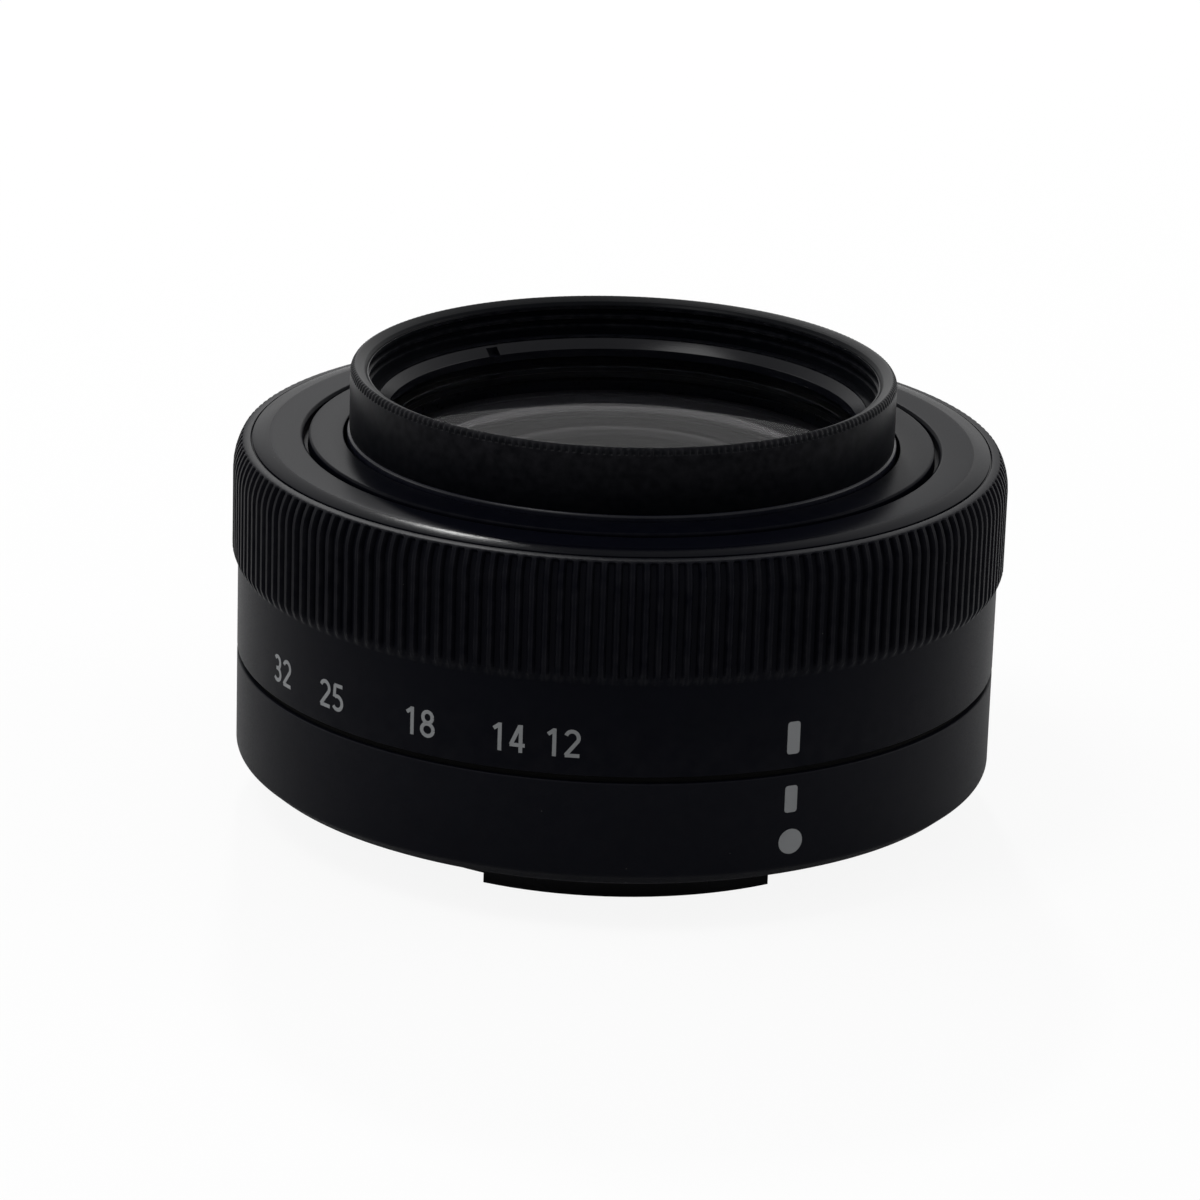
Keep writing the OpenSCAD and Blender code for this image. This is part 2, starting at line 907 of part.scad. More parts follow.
module drive_screw_shape(angle) {
    radial_pin(angle, cam_bore + drive_inset, cam_r - drive_neck, drive_z, drive_head_r);
    radial_pin(angle, cam_r - drive_neck - tiny, skirt_bore, drive_z, drive_shank_r);
}

module zoom_ring() {
    rib_h = grip_h - front_drop - rib_start - rib_end;
    color([0.12, 0.12, 0.12])
        difference() {
            rotate_extrude($fn = ring_sides)
                polygon(concat(
                    [
                        [skirt_bore, band_z],
                        [band_r, band_z],
                        [band_r, grip_z],
                        [crest_r, grip_z + rib_lead]
                    ],
                    [for (i = [0:crown_steps]) crown_edge(i / crown_steps)],
                    [
                        [cover_r, bevel_z],
                        [cover_r, cover_z],
                        [cam_r, cover_z],
                        [cam_r, sleeve_top + sleeve_room],
                        [skirt_bore, sleeve_top + sleeve_room]
                    ]
                ));
            translate([0, 0, grip_z + rib_start])
                difference() {
                    cylinder(r = crest_r + cut_over, h = rib_h, $fn = ring_sides);
                    translate([0, 0, -cut_over])
                        linear_extrude(height = rib_h + 2 * cut_over)
                            polygon(toothed_outline(
                                rib_count, crest_r + tiny, valley_r, rib_crest, rib_valley
                            ));
                }
            for (third = thirds)
                drive_screw_shape(third + drive_angle);
        }
}

module front_cover() {
    color([0.11, 0.11, 0.11])
        rotate_extrude($fn = ring_sides)
            polygon([
                [front_hole_r, cover_z],
                [cover_r, cover_z],
                [cover_r, bevel_z],
                [cover_r - bevel_w, ring_top],
                [front_hole_r, ring_top]
            ]);
}

module cam_barrel() {
    color([0.25, 0.25, 0.26])
        difference() {
            tube(cam_bore, cam_r, cam_z, cam_top);
            for (third = thirds) {
                helical_cut(third + middle_pins, middle_travel);
                helical_cut(third + group_pins, group_travel);
                helical_cut(third + inner_pins, middle_travel + inner_travel);
                drive_screw_shape(third + drive_angle);
                radial_pin(
                    third + drive_angle,
                    cam_bore - cut_over,
                    cam_bore + 2 * drive_inset,
                    drive_z,
                    drive_head_r
                );
            }
        }
}

module drive_screws() {
    color([0.55, 0.55, 0.57])
        for (third = thirds)
            drive_screw_shape(third + drive_angle);
}

module encoder_brush() {
    color([0.8, 0.6, 0.25])
        arc_block(
            cam_bore + brush_inset,
            cam_r - brush_inset,
            floor_top + strip_t + brush_gap,
            cam_z,
            encoder_start + brush_angle / 2,
            brush_angle
        );
}

// Middle barrel

module middle_barrel() {
    notch = arm_w / 2 + arm_gap;
    color([0.12, 0.12, 0.12])
        difference() {
            union() {
                tube(middle_bore, middle_r, rear_z, middle_top);
                tube(lip_r, middle_r, middle_top - lip_t, middle_top);
            }
            for (third = thirds) {
                radial_pin(
                    third + middle_pins, middle_bore + pin_seat, middle_r + cut_over, pin_z, pin_r
                );
                radial_cut(
                    third + inner_pins,
                    pin_r + slot_clear,
                    middle_bore - cut_over,
                    middle_r + cut_over,
                    rear_z - cut_over,
                    pin_z + inner_travel + pin_r + slot_clear
                );
                radial_cut(
                    third + group_pins,
                    notch,
                    middle_bore - cut_over,
                    middle_r + cut_over,
                    rear_z - cut_over,
                    notch_top
                );
            }
        }
}

module middle_followers() {
    color([0.75, 0.75, 0.7])
        for (third = thirds)
            radial_pin(third + middle_pins, middle_bore + pin_seat, pin_end_r, pin_z, pin_r);
}

// Inner barrel and front group

module inner_barrel() {
    ridges = floor((inner_top - front_ring_top) / thread_pitch);
    thread_low = inner_top - ridges * thread_pitch;
    flange_out = middle_bore - run;
    flange_top = pin_z + pin_r + inner_flange;
    notch = arm_w / 2 + arm_gap;
    color([0.12, 0.12, 0.12])
        difference() {
            rotate_extrude($fn = ring_sides)
                polygon(concat(
                    [
                        [inner_bore, rear_z],
                        [flange_out, rear_z],
                        [flange_out, flange_top],
                        [inner_r, flange_top],
                        [inner_r, inner_top],
                        [thread_r, inner_top]
                    ],
                    reversed(thread_wall(thread_low, ridges, lens_land_r)),
                    [
                        [lens_land_r, shelf_z + shelf_t],
                        [g1_r + g1_fit, shelf_z + shelf_t],
                        [g1_r + g1_fit, shelf_z],
                        [inner_bore, shelf_z]
                    ]
                ));
            for (third = thirds) {
                radial_pin(third + inner_pins, inner_r + pin_seat, middle_r, pin_z, pin_r);
                radial_cut(
                    third + group_pins,
                    notch,
                    inner_bore - cut_over,
                    middle_r,
                    rear_z - cut_over,
                    notch_top
                );
            }
        }
}

module inner_followers() {
    color([0.75, 0.75, 0.7])
        for (third = thirds)
            radial_pin(third + inner_pins, inner_r + pin_seat, pin_end_r, pin_z, pin_r);
}

module front_cell() {
    color([0.09, 0.09, 0.09])
        difference() {
            union() {
                disc(g1_r, g1_z, cell_top);
                disc(front_ring_r, shelf_z + shelf_t, cell_top);
            }
            disc(glass_edge_r, first_seat, cell_top + cut_over);
            disc(second_r, second_seat, first_seat + cut_over);
            disc(third_r, third_z, second_seat + cut_over);
            disc(second_bore, g1_z - cut_over, third_z + cut_over);
        }
}

module front_ring() {
    color([0.1, 0.1, 0.1])
        tube(glass_show_r + glass_margin, front_ring_r, cell_top, front_ring_top);
}

module first_lens() {
    color([0.7, 0.75, 0.8])
        difference() {
            union() {
                intersection() {
                    disc(glass_show_r, cell_top - tiny, first_vertex + cut_over);
                    ball_below(first_vertex, first_front_ball);
                }
                disc(glass_edge_r, first_seat, cell_top);
            }
            ball_below(first_rear_vertex, first_rear_ball);
        }
}

module second_lens() {
    color([0.7, 0.75, 0.8])
        difference() {
            disc(second_r, second_seat, first_seat - second_gap);
            ball_above(second_front_vertex, second_front_ball);
            ball_below(second_rear_vertex, second_rear_ball);
        }
}

module third_lens() {
    color([0.7, 0.75, 0.8])
        intersection() {
            disc(third_r, third_z, third_vertex + cut_over);
            ball_below(third_vertex, third_ball);
        }
}

// Second group

module group_frame() {
    color([0.15, 0.15, 0.16])
        difference() {
            union() {
                tube(g2_bore, g2_r, g2_z, iris_cover_z);
                tube(iris_open_r, g2_bore + tiny, plate_z, plate_z + plate_t);
                tube(fourth_r, fourth_r + fourth_wall, fourth_z, plate_z + tiny);
                for (third = thirds)
                    radial_cut(
                        third + group_pins, arm_w / 2, g2_bore + arm_root, arm_r, arm_z, g2_z + arm_wall
                    );
            }
            for (third = thirds)
                radial_pin(third + group_pins, group_pin_r, cam_r, pin_z, pin_r);
            for (i = [0:blade_count - 1])
                rotate([0, 0, i * 360 / blade_count])
                    translate([pivot_r, 0, plate_z - cut_over])
                        cylinder(r = pivot_pin_r + pin_fit, h = plate_t + 2 * cut_over, $fn = small_sides);
            translate([0, pinion_y, plate_z - cut_over])
                cylinder(r = shaft_r + pin_fit, h = plate_t + 2 * cut_over, $fn = small_sides);
            translate([0, pinion_y, iris_ring_z - pocket_drop])
                cylinder(r = pinion_pocket_r, h = iris_cover_z, $fn = motor_sides);
        }
}

module group_followers() {
    color([0.75, 0.75, 0.7])
        for (third = thirds)
            radial_pin(third + group_pins, group_pin_r, pin_end_r, pin_z, pin_r);
}

module fourth_lens() {
    color([0.7, 0.75, 0.8])
        intersection() {
            disc(fourth_r, fourth_z, plate_z);
            ball_below(plate_z, fourth_front_ball);
            ball_above(fourth_z, fourth_rear_ball);
        }
}

module iris_cover() {
    color([0.14, 0.14, 0.15])
        union() {
            tube(hub_bore, g2_r, iris_cover_z, iris_cover_z + iris_cover_t);
            tube(hub_bore, hub_r, iris_ring_z, iris_cover_z + tiny);
        }
}

module iris_motor() {
    color([0.5, 0.5, 0.52])
        difference() {
            translate([0, pinion_y, plate_z - motor_h])
                cylinder(r = motor_r, h = motor_h, $fn = motor_sides);
            translate([0, pinion_y, plate_z - shaft_seat])
                cylinder(r = shaft_r + pin_fit, h = shaft_seat + cut_over, $fn = small_sides);
        }
}

module stabiliser_cover() {
    color([0.15, 0.15, 0.16]) {
        tube(yaw_window, g2_bore, g2_z, g2_z + ois_cover_t);
        for (side = [-1, 1])
            translate([-key_l / 2, side * key_y - key_w / 2, g2_z + ois_cover_t - tiny])
                cube([key_l, key_w, key_h + tiny]);
    }
}

module stabiliser_coils() {
    color([0.7, 0.4, 0.2])
        for (turn = [0, 90])
            rotate([0, 0, turn + 180])
                translate([0, magnet_y, plate_z - coil_h])
                    difference() {
                        translate([-magnet_l / 2, -magnet_w / 2, 0])
                            cube([magnet_l, magnet_w, coil_h]);
                        translate([-magnet_l / 4, -magnet_w / 4, -cut_over])
                            cube([magnet_l / 2, magnet_w / 2, coil_h + 2 * cut_over]);
                    }
}

// Iris

function turned(point, angle) = [
    point[0] * cos(angle) - point[1] * sin(angle),
    point[0] * sin(angle) + point[1] * cos(angle)
];

pivot_point = [pivot_r, 0];
drive_point = turned(pivot_point, drive_step);

// Place of a drive pin in the iris ring's own frame after a share of the travel
function drive_path(share) = turned(
    pivot_point + turned(drive_point - pivot_point, share * iris_turn * blade_ratio),
    -share * iris_turn
);

function side_step(share, width) =
    let (
        ahead = drive_path(share + share_step) - drive_path(share - share_step),
        away = [-ahead[1], ahead[0]] / norm(ahead)
    )
    drive_path(share) + width * away;

// Points of the round end of a drive slot, beyond its last or before its first place
function slot_end(share, half, ahead) =
    let (
        step = drive_path(share + share_step) - drive_path(share - share_step),
        facing = atan2(step[1], step[0]) + (ahead ? 0 : 180)
    )
    [
        for (i = [1:end_steps - 1])
            let (angle = facing + 90 - 180 * i / end_steps)
            drive_path(share) + half * [cos(angle), sin(angle)]
    ];

module drive_slot() {
    half = drive_pin_r + drive_fit;
    steps = 10;
    translate([0, 0, iris_ring_z - cut_over])
        linear_extrude(height = iris_ring_t + 2 * cut_over)
            polygon(concat(
                [for (i = [0:steps]) side_step(i / steps, half)],
                slot_end(1, half, true),
                [for (i = [steps:-1:0]) side_step(i / steps, -half)],
                slot_end(0, half, false)
            ));
}

function involute(angle) = tan(angle) - angle * PI / 180;

// Half the angle that a gear tooth covers at a radius
function tooth_half(teeth, r) =
    let (
        pitch = gear_module * teeth / 2,
        base = pitch * cos(pressure_angle),
        slope = acos(min(1, base / max(r, base)))
    )
    90 / teeth + (involute(pressure_angle) - involute(slope) - backlash / (2 * pitch)) * 180 / PI;

// A point of a gear tooth's flank, on its side -1 or 1
function flank_point(teeth, middle, r, side) =
    let (angle = middle + side * tooth_half(teeth, r))
    r * [cos(angle), sin(angle)];

function tooth_outline(teeth, middle) =
    let (
        pitch = gear_module * teeth / 2,
        low = pitch - tooth_root * gear_module,
        high = pitch + tooth_tip * gear_module,
        heights = [for (i = [0:tooth_steps]) low + (high - low) * i / tooth_steps]
    )
    concat(
        [for (r = heights) flank_point(teeth, middle, r, -1)],
        [for (r = reversed(heights)) flank_point(teeth, middle, r, 1)]
    );

module iris_ring() {
    tooth_step = 360 / ring_teeth;
    teeth = [for (i = [-teeth_before:teeth_after]) 90 + (i + 0.5) * tooth_step];
    root_r = ring_pitch_r - tooth_root * gear_module;
    first = teeth[0];
    span = teeth[len(teeth) - 1] - first;
    color([0.2, 0.2, 0.2])
        difference() {
            union() {
                tube(hub_r + pin_fit, root_r - ring_rim, iris_ring_z, iris_ring_z + iris_ring_t);
                translate([0, 0, iris_ring_z])
                    linear_extrude(height = iris_ring_t)
                        polygon(concat(
                            [for (middle = teeth) each tooth_outline(ring_teeth, middle)],
                            [for (i = [ring_steps:-1:0]) (root_r - ring_bite) * [
                                cos(first + span * i / ring_steps), sin(first + span * i / ring_steps)
                            ]]
                        ));
            }
            for (i = [0:blade_count - 1])
                rotate([0, 0, i * 360 / blade_count])
                    drive_slot();
        }
}

module iris_pinion() {
    color([0.8, 0.75, 0.6])
        translate([0, pinion_y, 0]) {
            translate([0, 0, iris_ring_z])
                linear_extrude(height = iris_ring_t)
                    polygon([
                        for (i = [0:pinion_teeth - 1])
                            each tooth_outline(pinion_teeth, i * 360 / pinion_teeth)
                    ]);
            translate([0, 0, plate_z - shaft_l])
                cylinder(r = shaft_r, h = iris_ring_z - plate_z + shaft_l + shaft_bite, $fn = small_sides);
        }
}

// One iris blade on its own level of the stack
module blade(index) {
    level = blade_z + index * blade_pitch;
    drive_h = iris_ring_z + iris_ring_t - level - blade_t;
    out_r = iris_open_r + blade_w;
    steps = 24;
    arc = [for (i = [0:steps]) [cos(blade_span * i / steps), sin(blade_span * i / steps)]];
    color([0.1, 0.1, 0.1])
        rotate([0, 0, index * 360 / blade_count]) {
            translate([0, 0, level]) {
                linear_extrude(height = blade_t)
                    polygon(concat(
                        [for (point = arc) out_r * point],
                        [for (point = reversed(arc)) iris_open_r * point]
                    ));
                for (place = [pivot_point, drive_point])
                    translate(place)
                        cylinder(r = tab_r, h = blade_t, $fn = small_sides);
            }
            translate([pivot_r, 0, plate_z + pivot_lift])
                cylinder(r = pivot_pin_r, h = level - plate_z, $fn = small_sides);
            translate([drive_point[0], drive_point[1], level + blade_t - tiny])
                cylinder(r = drive_pin_r, h = drive_h, $fn = small_sides);
        }
}

// Stabiliser

module yaw_frame() {
    color([0.25, 0.25, 0.27]) {
        difference() {
            tube(yaw_window, yaw_r, yaw_z, yaw_z + yaw_t);
            for (side = [-1, 1])
                translate([
                    -keyway_l / 2,
                    side * key_y - keyway_w / 2,
                    yaw_z - cut_over
                ])
                    cube([keyway_l, keyway_w, cut_over + key_h]);
        }
        for (side = [-1, 1])
            translate([side * key_y - key_w / 2, -key_l / 2, yaw_z + yaw_t - tiny])
                cube([key_w, key_l, key_h + tiny]);
    }
}

module pitch_frame() {
    color([0.3, 0.3, 0.32])
        difference() {
            union() {
                tube(doublet_r, pitch_r, pitch_z, pitch_z + pitch_t);
                tube(doublet_r, doublet_r + doublet_wall, yaw_z, pitch_z + tiny);
            }
            for (side = [-1, 1])
                translate([
                    side * key_y - keyway_w / 2,
                    -keyway_l / 2,
                    pitch_z - cut_over
                ])
                    cube([keyway_w, keyway_l, cut_over + key_h]);
        }
}

module fifth_lens() {
    color([0.7, 0.75, 0.8])
        intersection() {
            disc(doublet_r, yaw_z, doublet_top);
            ball_below(doublet_top, doublet_front_ball);
            ball_above(doublet_joint, doublet_ball);
        }
}

module sixth_lens() {
    edge = doublet_joint + doublet_ball - sqrt(pow(doublet_ball, 2) - pow(doublet_r, 2));
    color([0.65, 0.7, 0.75])
        difference() {
            disc(doublet_r, yaw_z, edge);
            ball_above(doublet_joint, doublet_ball);
        }
}

module stabiliser_magnets() {
    color([0.6, 0.6, 0.6])
        for (turn = [0, 90])
            rotate([0, 0, turn + 180])
                translate([-magnet_l / 2, magnet_y - magnet_w / 2, pitch_z + pitch_t])
                    cube([magnet_l, magnet_w, magnet_h]);
}

// Focus

module carriage_arm(angle, length) {
    radial_cut(
        angle,
        arm_half,
        carriage_r - arm_bite,
        length + arm_half,
        carriage_arm_z,
        carriage_arm_z + arm_t
    );
}

module focus_carriage() {
    color([0.2, 0.2, 0.22])
        difference() {
            union() {
                tube(focus_lens_r, carriage_r, carriage_z, carriage_z + carriage_h);
                for (angle = [0, 180])
                    carriage_arm(angle, pole_x);
                carriage_arm(270, lead_y);
            }
            for (side = [-1, 1])
                translate([side * pole_x, 0, carriage_z])
                    cylinder(r = pole_r + pole_clear, h = carriage_h + cut_over, $fn = pin_sides);
            translate([0, -lead_y, carriage_z])
                cylinder(r = lead_r + pole_clear, h = carriage_h + cut_over, $fn = pin_sides);
        }
}

module focus_lens() {
    color([0.7, 0.75, 0.8])
        difference() {
            disc(focus_lens_r, focus_z, focus_top);
            ball_above(focus_top - focus_front_dip, focus_front_ball);
            ball_below(focus_z + focus_rear_dip, focus_rear_ball);
        }
}

module lead_screw() {
    groove = 0.12;
    thread_step = 0.5;
    low = cell_floor_top + focus_motor_h;
    turns = floor((pole_top - low) / thread_step);
    color([0.7, 0.7, 0.72])
        translate([0, -lead_y, 0])
            rotate_extrude($fn = pin_sides)
                polygon(concat(
                    [[0, pole_top], [0, low]],
                    [for (i = [0:turns - 1]) each [
                        [lead_r, low + i * thread_step],
                        [lead_r - groove, low + (i + 0.5) * thread_step]
                    ]],
                    [[lead_r, low + turns * thread_step], [lead_r, pole_top]]
                ));
}

// Filter

module filter_frame() {
    ridges = floor((filter_top - thread_z) / thread_pitch);
    thread_low = filter_top - ridges * thread_pitch;
    color([0.1, 0.1, 0.1])
        difference() {
            rotate_extrude($fn = ring_sides)
                polygon(concat(
                    [
                        [filter_glass_r - glass_ledge, inner_top - spigot_h],
                        [spigot_r, inner_top - spigot_h],
                        [spigot_r, inner_top],
                        [filter_r, inner_top],
                        [filter_r, filter_top],
                        [thread_r, filter_top]
                    ],
                    reversed(thread_wall(thread_low, ridges, land_r)),
                    [
                        [land_r, thread_z],
                        [filter_glass_r, thread_z],
                        [filter_glass_r, glass_z],
                        [filter_glass_r - glass_ledge, glass_z]
                    ]
                ));
            translate([0, 0, knurl_z])
                difference() {
                    cylinder(r = filter_r + cut_over, h = knurl_h, $fn = ring_sides);
                    translate([0, 0, -cut_over])
                        linear_extrude(height = knurl_h + 2 * cut_over)
                            polygon(toothed_outline(
                                knurl_count,
                                filter_r + tiny,
                                filter_r - knurl_depth,
                                knurl_crest,
                                knurl_valley
                            ));
                }
        }
}

module filter_glass() {
    color([0.75, 0.8, 0.82])
        disc(filter_glass_r, glass_z, retainer_z);
}

module filter_retainer() {
    color([0.15, 0.15, 0.15])
        difference() {
            tube(filter_glass_r - retainer_w, filter_glass_r, retainer_z, retainer_z + retainer_h);
            for (angle = notch_angles)
                radial_cut(
                    angle,
                    notch_w / 2,
                    filter_glass_r - retainer_w / 2,
                    filter_glass_r + cut_over,
                    retainer_z + retainer_h / 2,
                    retainer_z + retainer_h + cut_over
                );
        }
}

mount_ring();
mount_screws();
contact_block();
contact_pins();
rear_cover();
rear_cell();
rear_lens();
circuit_board();
flex_circuit();
fixed_barrel();
base_ring();
guide_barrel();
ring_seal();
encoder_strip();
focus_motor();
guide_poles();
zoom_ring();
front_cover();
cam_barrel();
drive_screws();
encoder_brush();
middle_barrel();
middle_followers();
inner_barrel();
inner_followers();
front_cell();
front_ring();
first_lens();
second_lens();
third_lens();
group_frame();
group_followers();
fourth_lens();
iris_cover();
iris_motor();
stabiliser_cover();
stabiliser_coils();
iris_ring();
iris_pinion();
blade(0);  // blade_1
blade(1);  // blade_2
blade(2);  // blade_3
blade(3);  // blade_4
blade(4);  // blade_5
blade(5);  // blade_6
blade(6);  // blade_7
yaw_frame();
pitch_frame();
fifth_lens();
sixth_lens();
stabiliser_magnets();
focus_carriage();
focus_lens();
lead_screw();
filter_frame();
filter_glass();
filter_retainer();
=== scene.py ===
import json
import math

import bmesh
import bpy
from mathutils import Matrix, Vector


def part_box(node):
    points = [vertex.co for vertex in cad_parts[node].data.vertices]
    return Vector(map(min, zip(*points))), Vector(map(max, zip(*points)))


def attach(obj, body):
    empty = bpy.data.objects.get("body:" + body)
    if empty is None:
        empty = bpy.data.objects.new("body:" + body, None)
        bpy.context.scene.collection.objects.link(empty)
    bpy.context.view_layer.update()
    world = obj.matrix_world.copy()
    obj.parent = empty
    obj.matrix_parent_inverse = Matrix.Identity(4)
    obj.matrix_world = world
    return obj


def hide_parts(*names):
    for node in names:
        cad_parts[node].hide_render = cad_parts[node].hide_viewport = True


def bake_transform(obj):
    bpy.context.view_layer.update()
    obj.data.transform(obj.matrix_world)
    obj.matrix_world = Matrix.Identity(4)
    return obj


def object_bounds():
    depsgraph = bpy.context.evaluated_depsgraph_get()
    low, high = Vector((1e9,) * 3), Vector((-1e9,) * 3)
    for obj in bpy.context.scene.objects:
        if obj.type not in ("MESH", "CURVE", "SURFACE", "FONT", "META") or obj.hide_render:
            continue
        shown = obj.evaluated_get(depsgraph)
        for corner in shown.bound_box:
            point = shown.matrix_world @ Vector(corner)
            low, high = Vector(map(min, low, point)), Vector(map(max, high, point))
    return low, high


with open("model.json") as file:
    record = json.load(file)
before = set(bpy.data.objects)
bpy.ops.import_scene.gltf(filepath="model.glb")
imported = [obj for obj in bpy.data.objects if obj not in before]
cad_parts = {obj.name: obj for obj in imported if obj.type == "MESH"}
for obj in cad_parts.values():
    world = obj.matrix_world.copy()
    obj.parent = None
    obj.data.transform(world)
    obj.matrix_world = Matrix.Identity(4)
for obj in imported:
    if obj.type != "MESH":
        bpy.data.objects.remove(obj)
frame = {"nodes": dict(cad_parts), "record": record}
cad_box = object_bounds()

bl_info = {
    "name": "Camera zoom lens",
    "version": (1, 0, 0),
    "blender": (4, 5, 0),
    "location": "3D View > Sidebar > Lens",
    "description": "Dresses a collapsible camera zoom lens with its finishes and stage",
    "category": "Object",
}

# Sizes of outlines are in mm, placed lengths in m, angles round the axis in degrees
MM = 0.001
MICRON = 1e-6

# Meshes
WELD = MICRON
SHARP_TURN = 0.6
SMOOTH_ANGLE = math.radians(35)
EASE_STEPS = 4

# Printed marks
ARC_STEPS = 16
DIGIT_STEP = 0.66
BAR_CORNER, BAR_CORNER_STEPS = 0.22, 3
DOT_SIDES, DOT_INSET = 64, 0.5
NUMBERS = (("12", -97.0), ("14", -105.0), ("18", -118.8), ("25", -135.5), ("32", -148.0))
NUMBER_HEIGHT = 10.6 * MM
BASE_BAR = {"width": 0.95 * MM, "length": 1.95 * MM, "angle": -63.25, "height": 6.06 * MM}
BASE_DOT = {"dot_radius": 0.91 * MM, "angle": -63.05, "height": 2.94 * MM}
ZOOM_BAR = {"width": 0.96 * MM, "length": 2.35 * MM, "angle": -63.23, "height": 10.52 * MM}

# Base ring
MOUNT_PLAY = 0.15
CHAMFER_WIDTH, CHAMFER_HEIGHT = 0.95, 0.8

# Zoom ring and its cover
SLEEVE_PLAY, STEP_PLAY = 0.08, 0.1
GRIP_FOOT, GRIP_STRAIGHT = 14.97, 18.4
CROWN_BELOW_FACE, CROWN_HEIGHT, CROWN_DROP = 2.45, 2.0, 0.55
# Share of the crown's height, and how far the valleys sink there
CROWN_SINKS = ((0, 0), (0.25, 0.02), (0.5, 0.05), (0.75, 0.06), (0.9, 0.02), (0.97, -0.12))
# Share of a rib's pitch, and its rise there
RIB_COLUMNS = ((-0.5, 0), (-0.32, 0), (-0.15, 1), (0, 1), (0.15, 1), (0.32, 0), (0.5, 0))
COVER_GAP, COVER_FOOT, COVER_BEVEL = 0.35, 0.3, 1.25

# Barrels
THIRDS = (0, 120, 240)
MIDDLE_WALL, MIDDLE_LIP, LIP_HEIGHT, LIP_PLAY = 1.0, 2.5, 1.1, 0.25
PIN_HEIGHT, PIN_COVER = 4.7, 1.5
# Angle, width and top of a slot and of a notch
SLOT, NOTCH = (60, 1.7, 12.35), (40, 3.1, 6.6)
CUT_OVER = 1
TUBE_WALL, CELL_WALL, SHELF_DOWN, SHELF_THICK = 0.8, 0.8, 5.05, 1
THREAD_IN, LAND_IN, RIDGE_EASE = 1.15, 1.65, 0.04

# Front ring and lens
RING_FACE, RING_PLAY = 3.25, 0.15
GROOVE_FROM_EDGE, GROOVE_HALF, GROOVE_DEPTH = 1.22, 0.16, 0.3
LENS_STEPS = 28
LENS_SEAT, LENS_THICK, REAR_CURVE = 4, 1.5, 1.55

# Filter
KNURL_COLUMNS = ((-0.5, 0), (-0.3, 0.15), (-0.14, 1), (0.14, 1), (0.3, 0.15), (0.5, 0))
KNURL_TALL = 0.5
LEDGE_IN, SPIGOT_OUT, THREAD_FOOT = 0.9, 0.4, 0.1
FILTER_THREAD_IN, FILTER_LAND_IN = 1.0, 1.3
PANE_LOWERED, PANE_PLAY, PANE_EASE = 0.44, 0.01, 0.1
RETAINER_WIDTH, RETAINER_SLOPE, RETAINER_EASE = 0.68, 0.64, 0.03
SPANNER_ANGLES, SPANNER_WIDTH = (124.5, 304.5), 0.95

# Flexible circuit
FLEX_START, FLEX_SWEEP = 95, 16
FLEX_THICK = 0.2 * MM
FLEX_COLUMNS, FLEX_ROWS = 8, 16

# Finishes, with the bevel's radius in mm and the lathe lines' depth in microns
BEVEL_ROUGH, BEVEL_FROM = 0.16, 25.2
LATHE_DEPTH = 4
PATCH_SCALE = 0.03
NOISE_LOW, NOISE_HIGH = 0.3, 0.7
WEAR_LOW, WEAR_HIGH, WEAR_SCALE = 0.3, 0.75, 900.0
DUST_SCALE, DUST_SIZE, DUST_GREY, DUST_CUT = 700.0, 0.03, 0.03, 0.72

# Stage: each lamp's name, place, size and the property with its power
LAMPS = (
    ("key_lamp", (-0.245, -0.145, 0.6), 0.22, "key"),
    ("back_lamp", (0.02, 0.7, 0.34), 0.45, "back"),
    ("left_lamp", (-0.62, 0.08, 0.24), 0.4, "side"),
    ("right_lamp", (0.62, 0.08, 0.24), 0.4, "side"),
    ("spark_lamp", (-0.06, 0.595, 0.453), 0.06, "spark"),
)
FLOOR_SIZE, FLOOR_GRAIN, FLOOR_ROUGH, FLOOR_GLOSS = 6, 300.0, 0.9, 0.1
FLOOR_WHITE = 0.9
WHITE = (1, 1, 1, 1)
SENSOR_WIDTH = 36.0
CLIP_START = 0.01


def top(node):
    """Height of a CAD node's highest point, in mm."""
    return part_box(node)[1].z / MM


def bottom(node):
    """Height of a CAD node's lowest point, in mm."""
    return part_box(node)[0].z / MM


def reach(node):
    """Outer radius of a round CAD node, in mm."""
    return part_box(node)[1].y / MM


def extent(node):
    """Outer radius, lowest and highest point of a round CAD node, in mm."""
    return reach(node), bottom(node), top(node)


# Property groups

def metres(name, description, default):
    """A property that holds a length."""
    return bpy.props.FloatProperty(
        name=name, description=description, default=default, unit="LENGTH", precision=6)


def tint(name, description, default):
    """A property that holds a colour."""
    return bpy.props.FloatVectorProperty(
        name=name, description=description, default=(*default, 1), subtype="COLOR", size=4)


def power(name, description, default):
    """A property that holds a lamp's power."""
    return bpy.props.FloatProperty(
        name=name, description=description, default=default, subtype="POWER", min=0)


class LensSizes(bpy.types.PropertyGroup):
    """Sizes of the shapes that are finer than the CAD model."""

    spin_steps: bpy.props.IntProperty(
        name="Spin steps", description="Faces around a turned piece", default=288, min=96)
    rib_count: bpy.props.IntProperty(
        name="Ribs", description="Ribs around the zoom ring", default=180, min=60)
    rib_depth: metres("Rib depth", "Depth of the grooves between the ribs", 0.34 * MM)
    knurl_count: bpy.props.IntProperty(
        name="Knurl teeth", description="Teeth around the filter", default=240, min=60)
    knurl_depth: metres("Knurl depth", "Depth of the filter's fine knurl", 0.11 * MM)
    edge_ease: metres("Edge ease", "Rounding of the machined edges", 0.12 * MM)
    thread_pitch: metres("Thread pitch", "Distance between thread ridges", 0.75 * MM)
    print_rise: metres("Print thickness", "How far the printed marks stand proud", 0.02 * MM)
    stroke_width: bpy.props.FloatProperty(
        name="Stroke width", description="Width of a digit's stroke, as a share of its height",
        default=0.135, min=0.05)
    digit_height: metres("Digit height", "Height of the numbers on the zoom ring", 2.0 * MM)


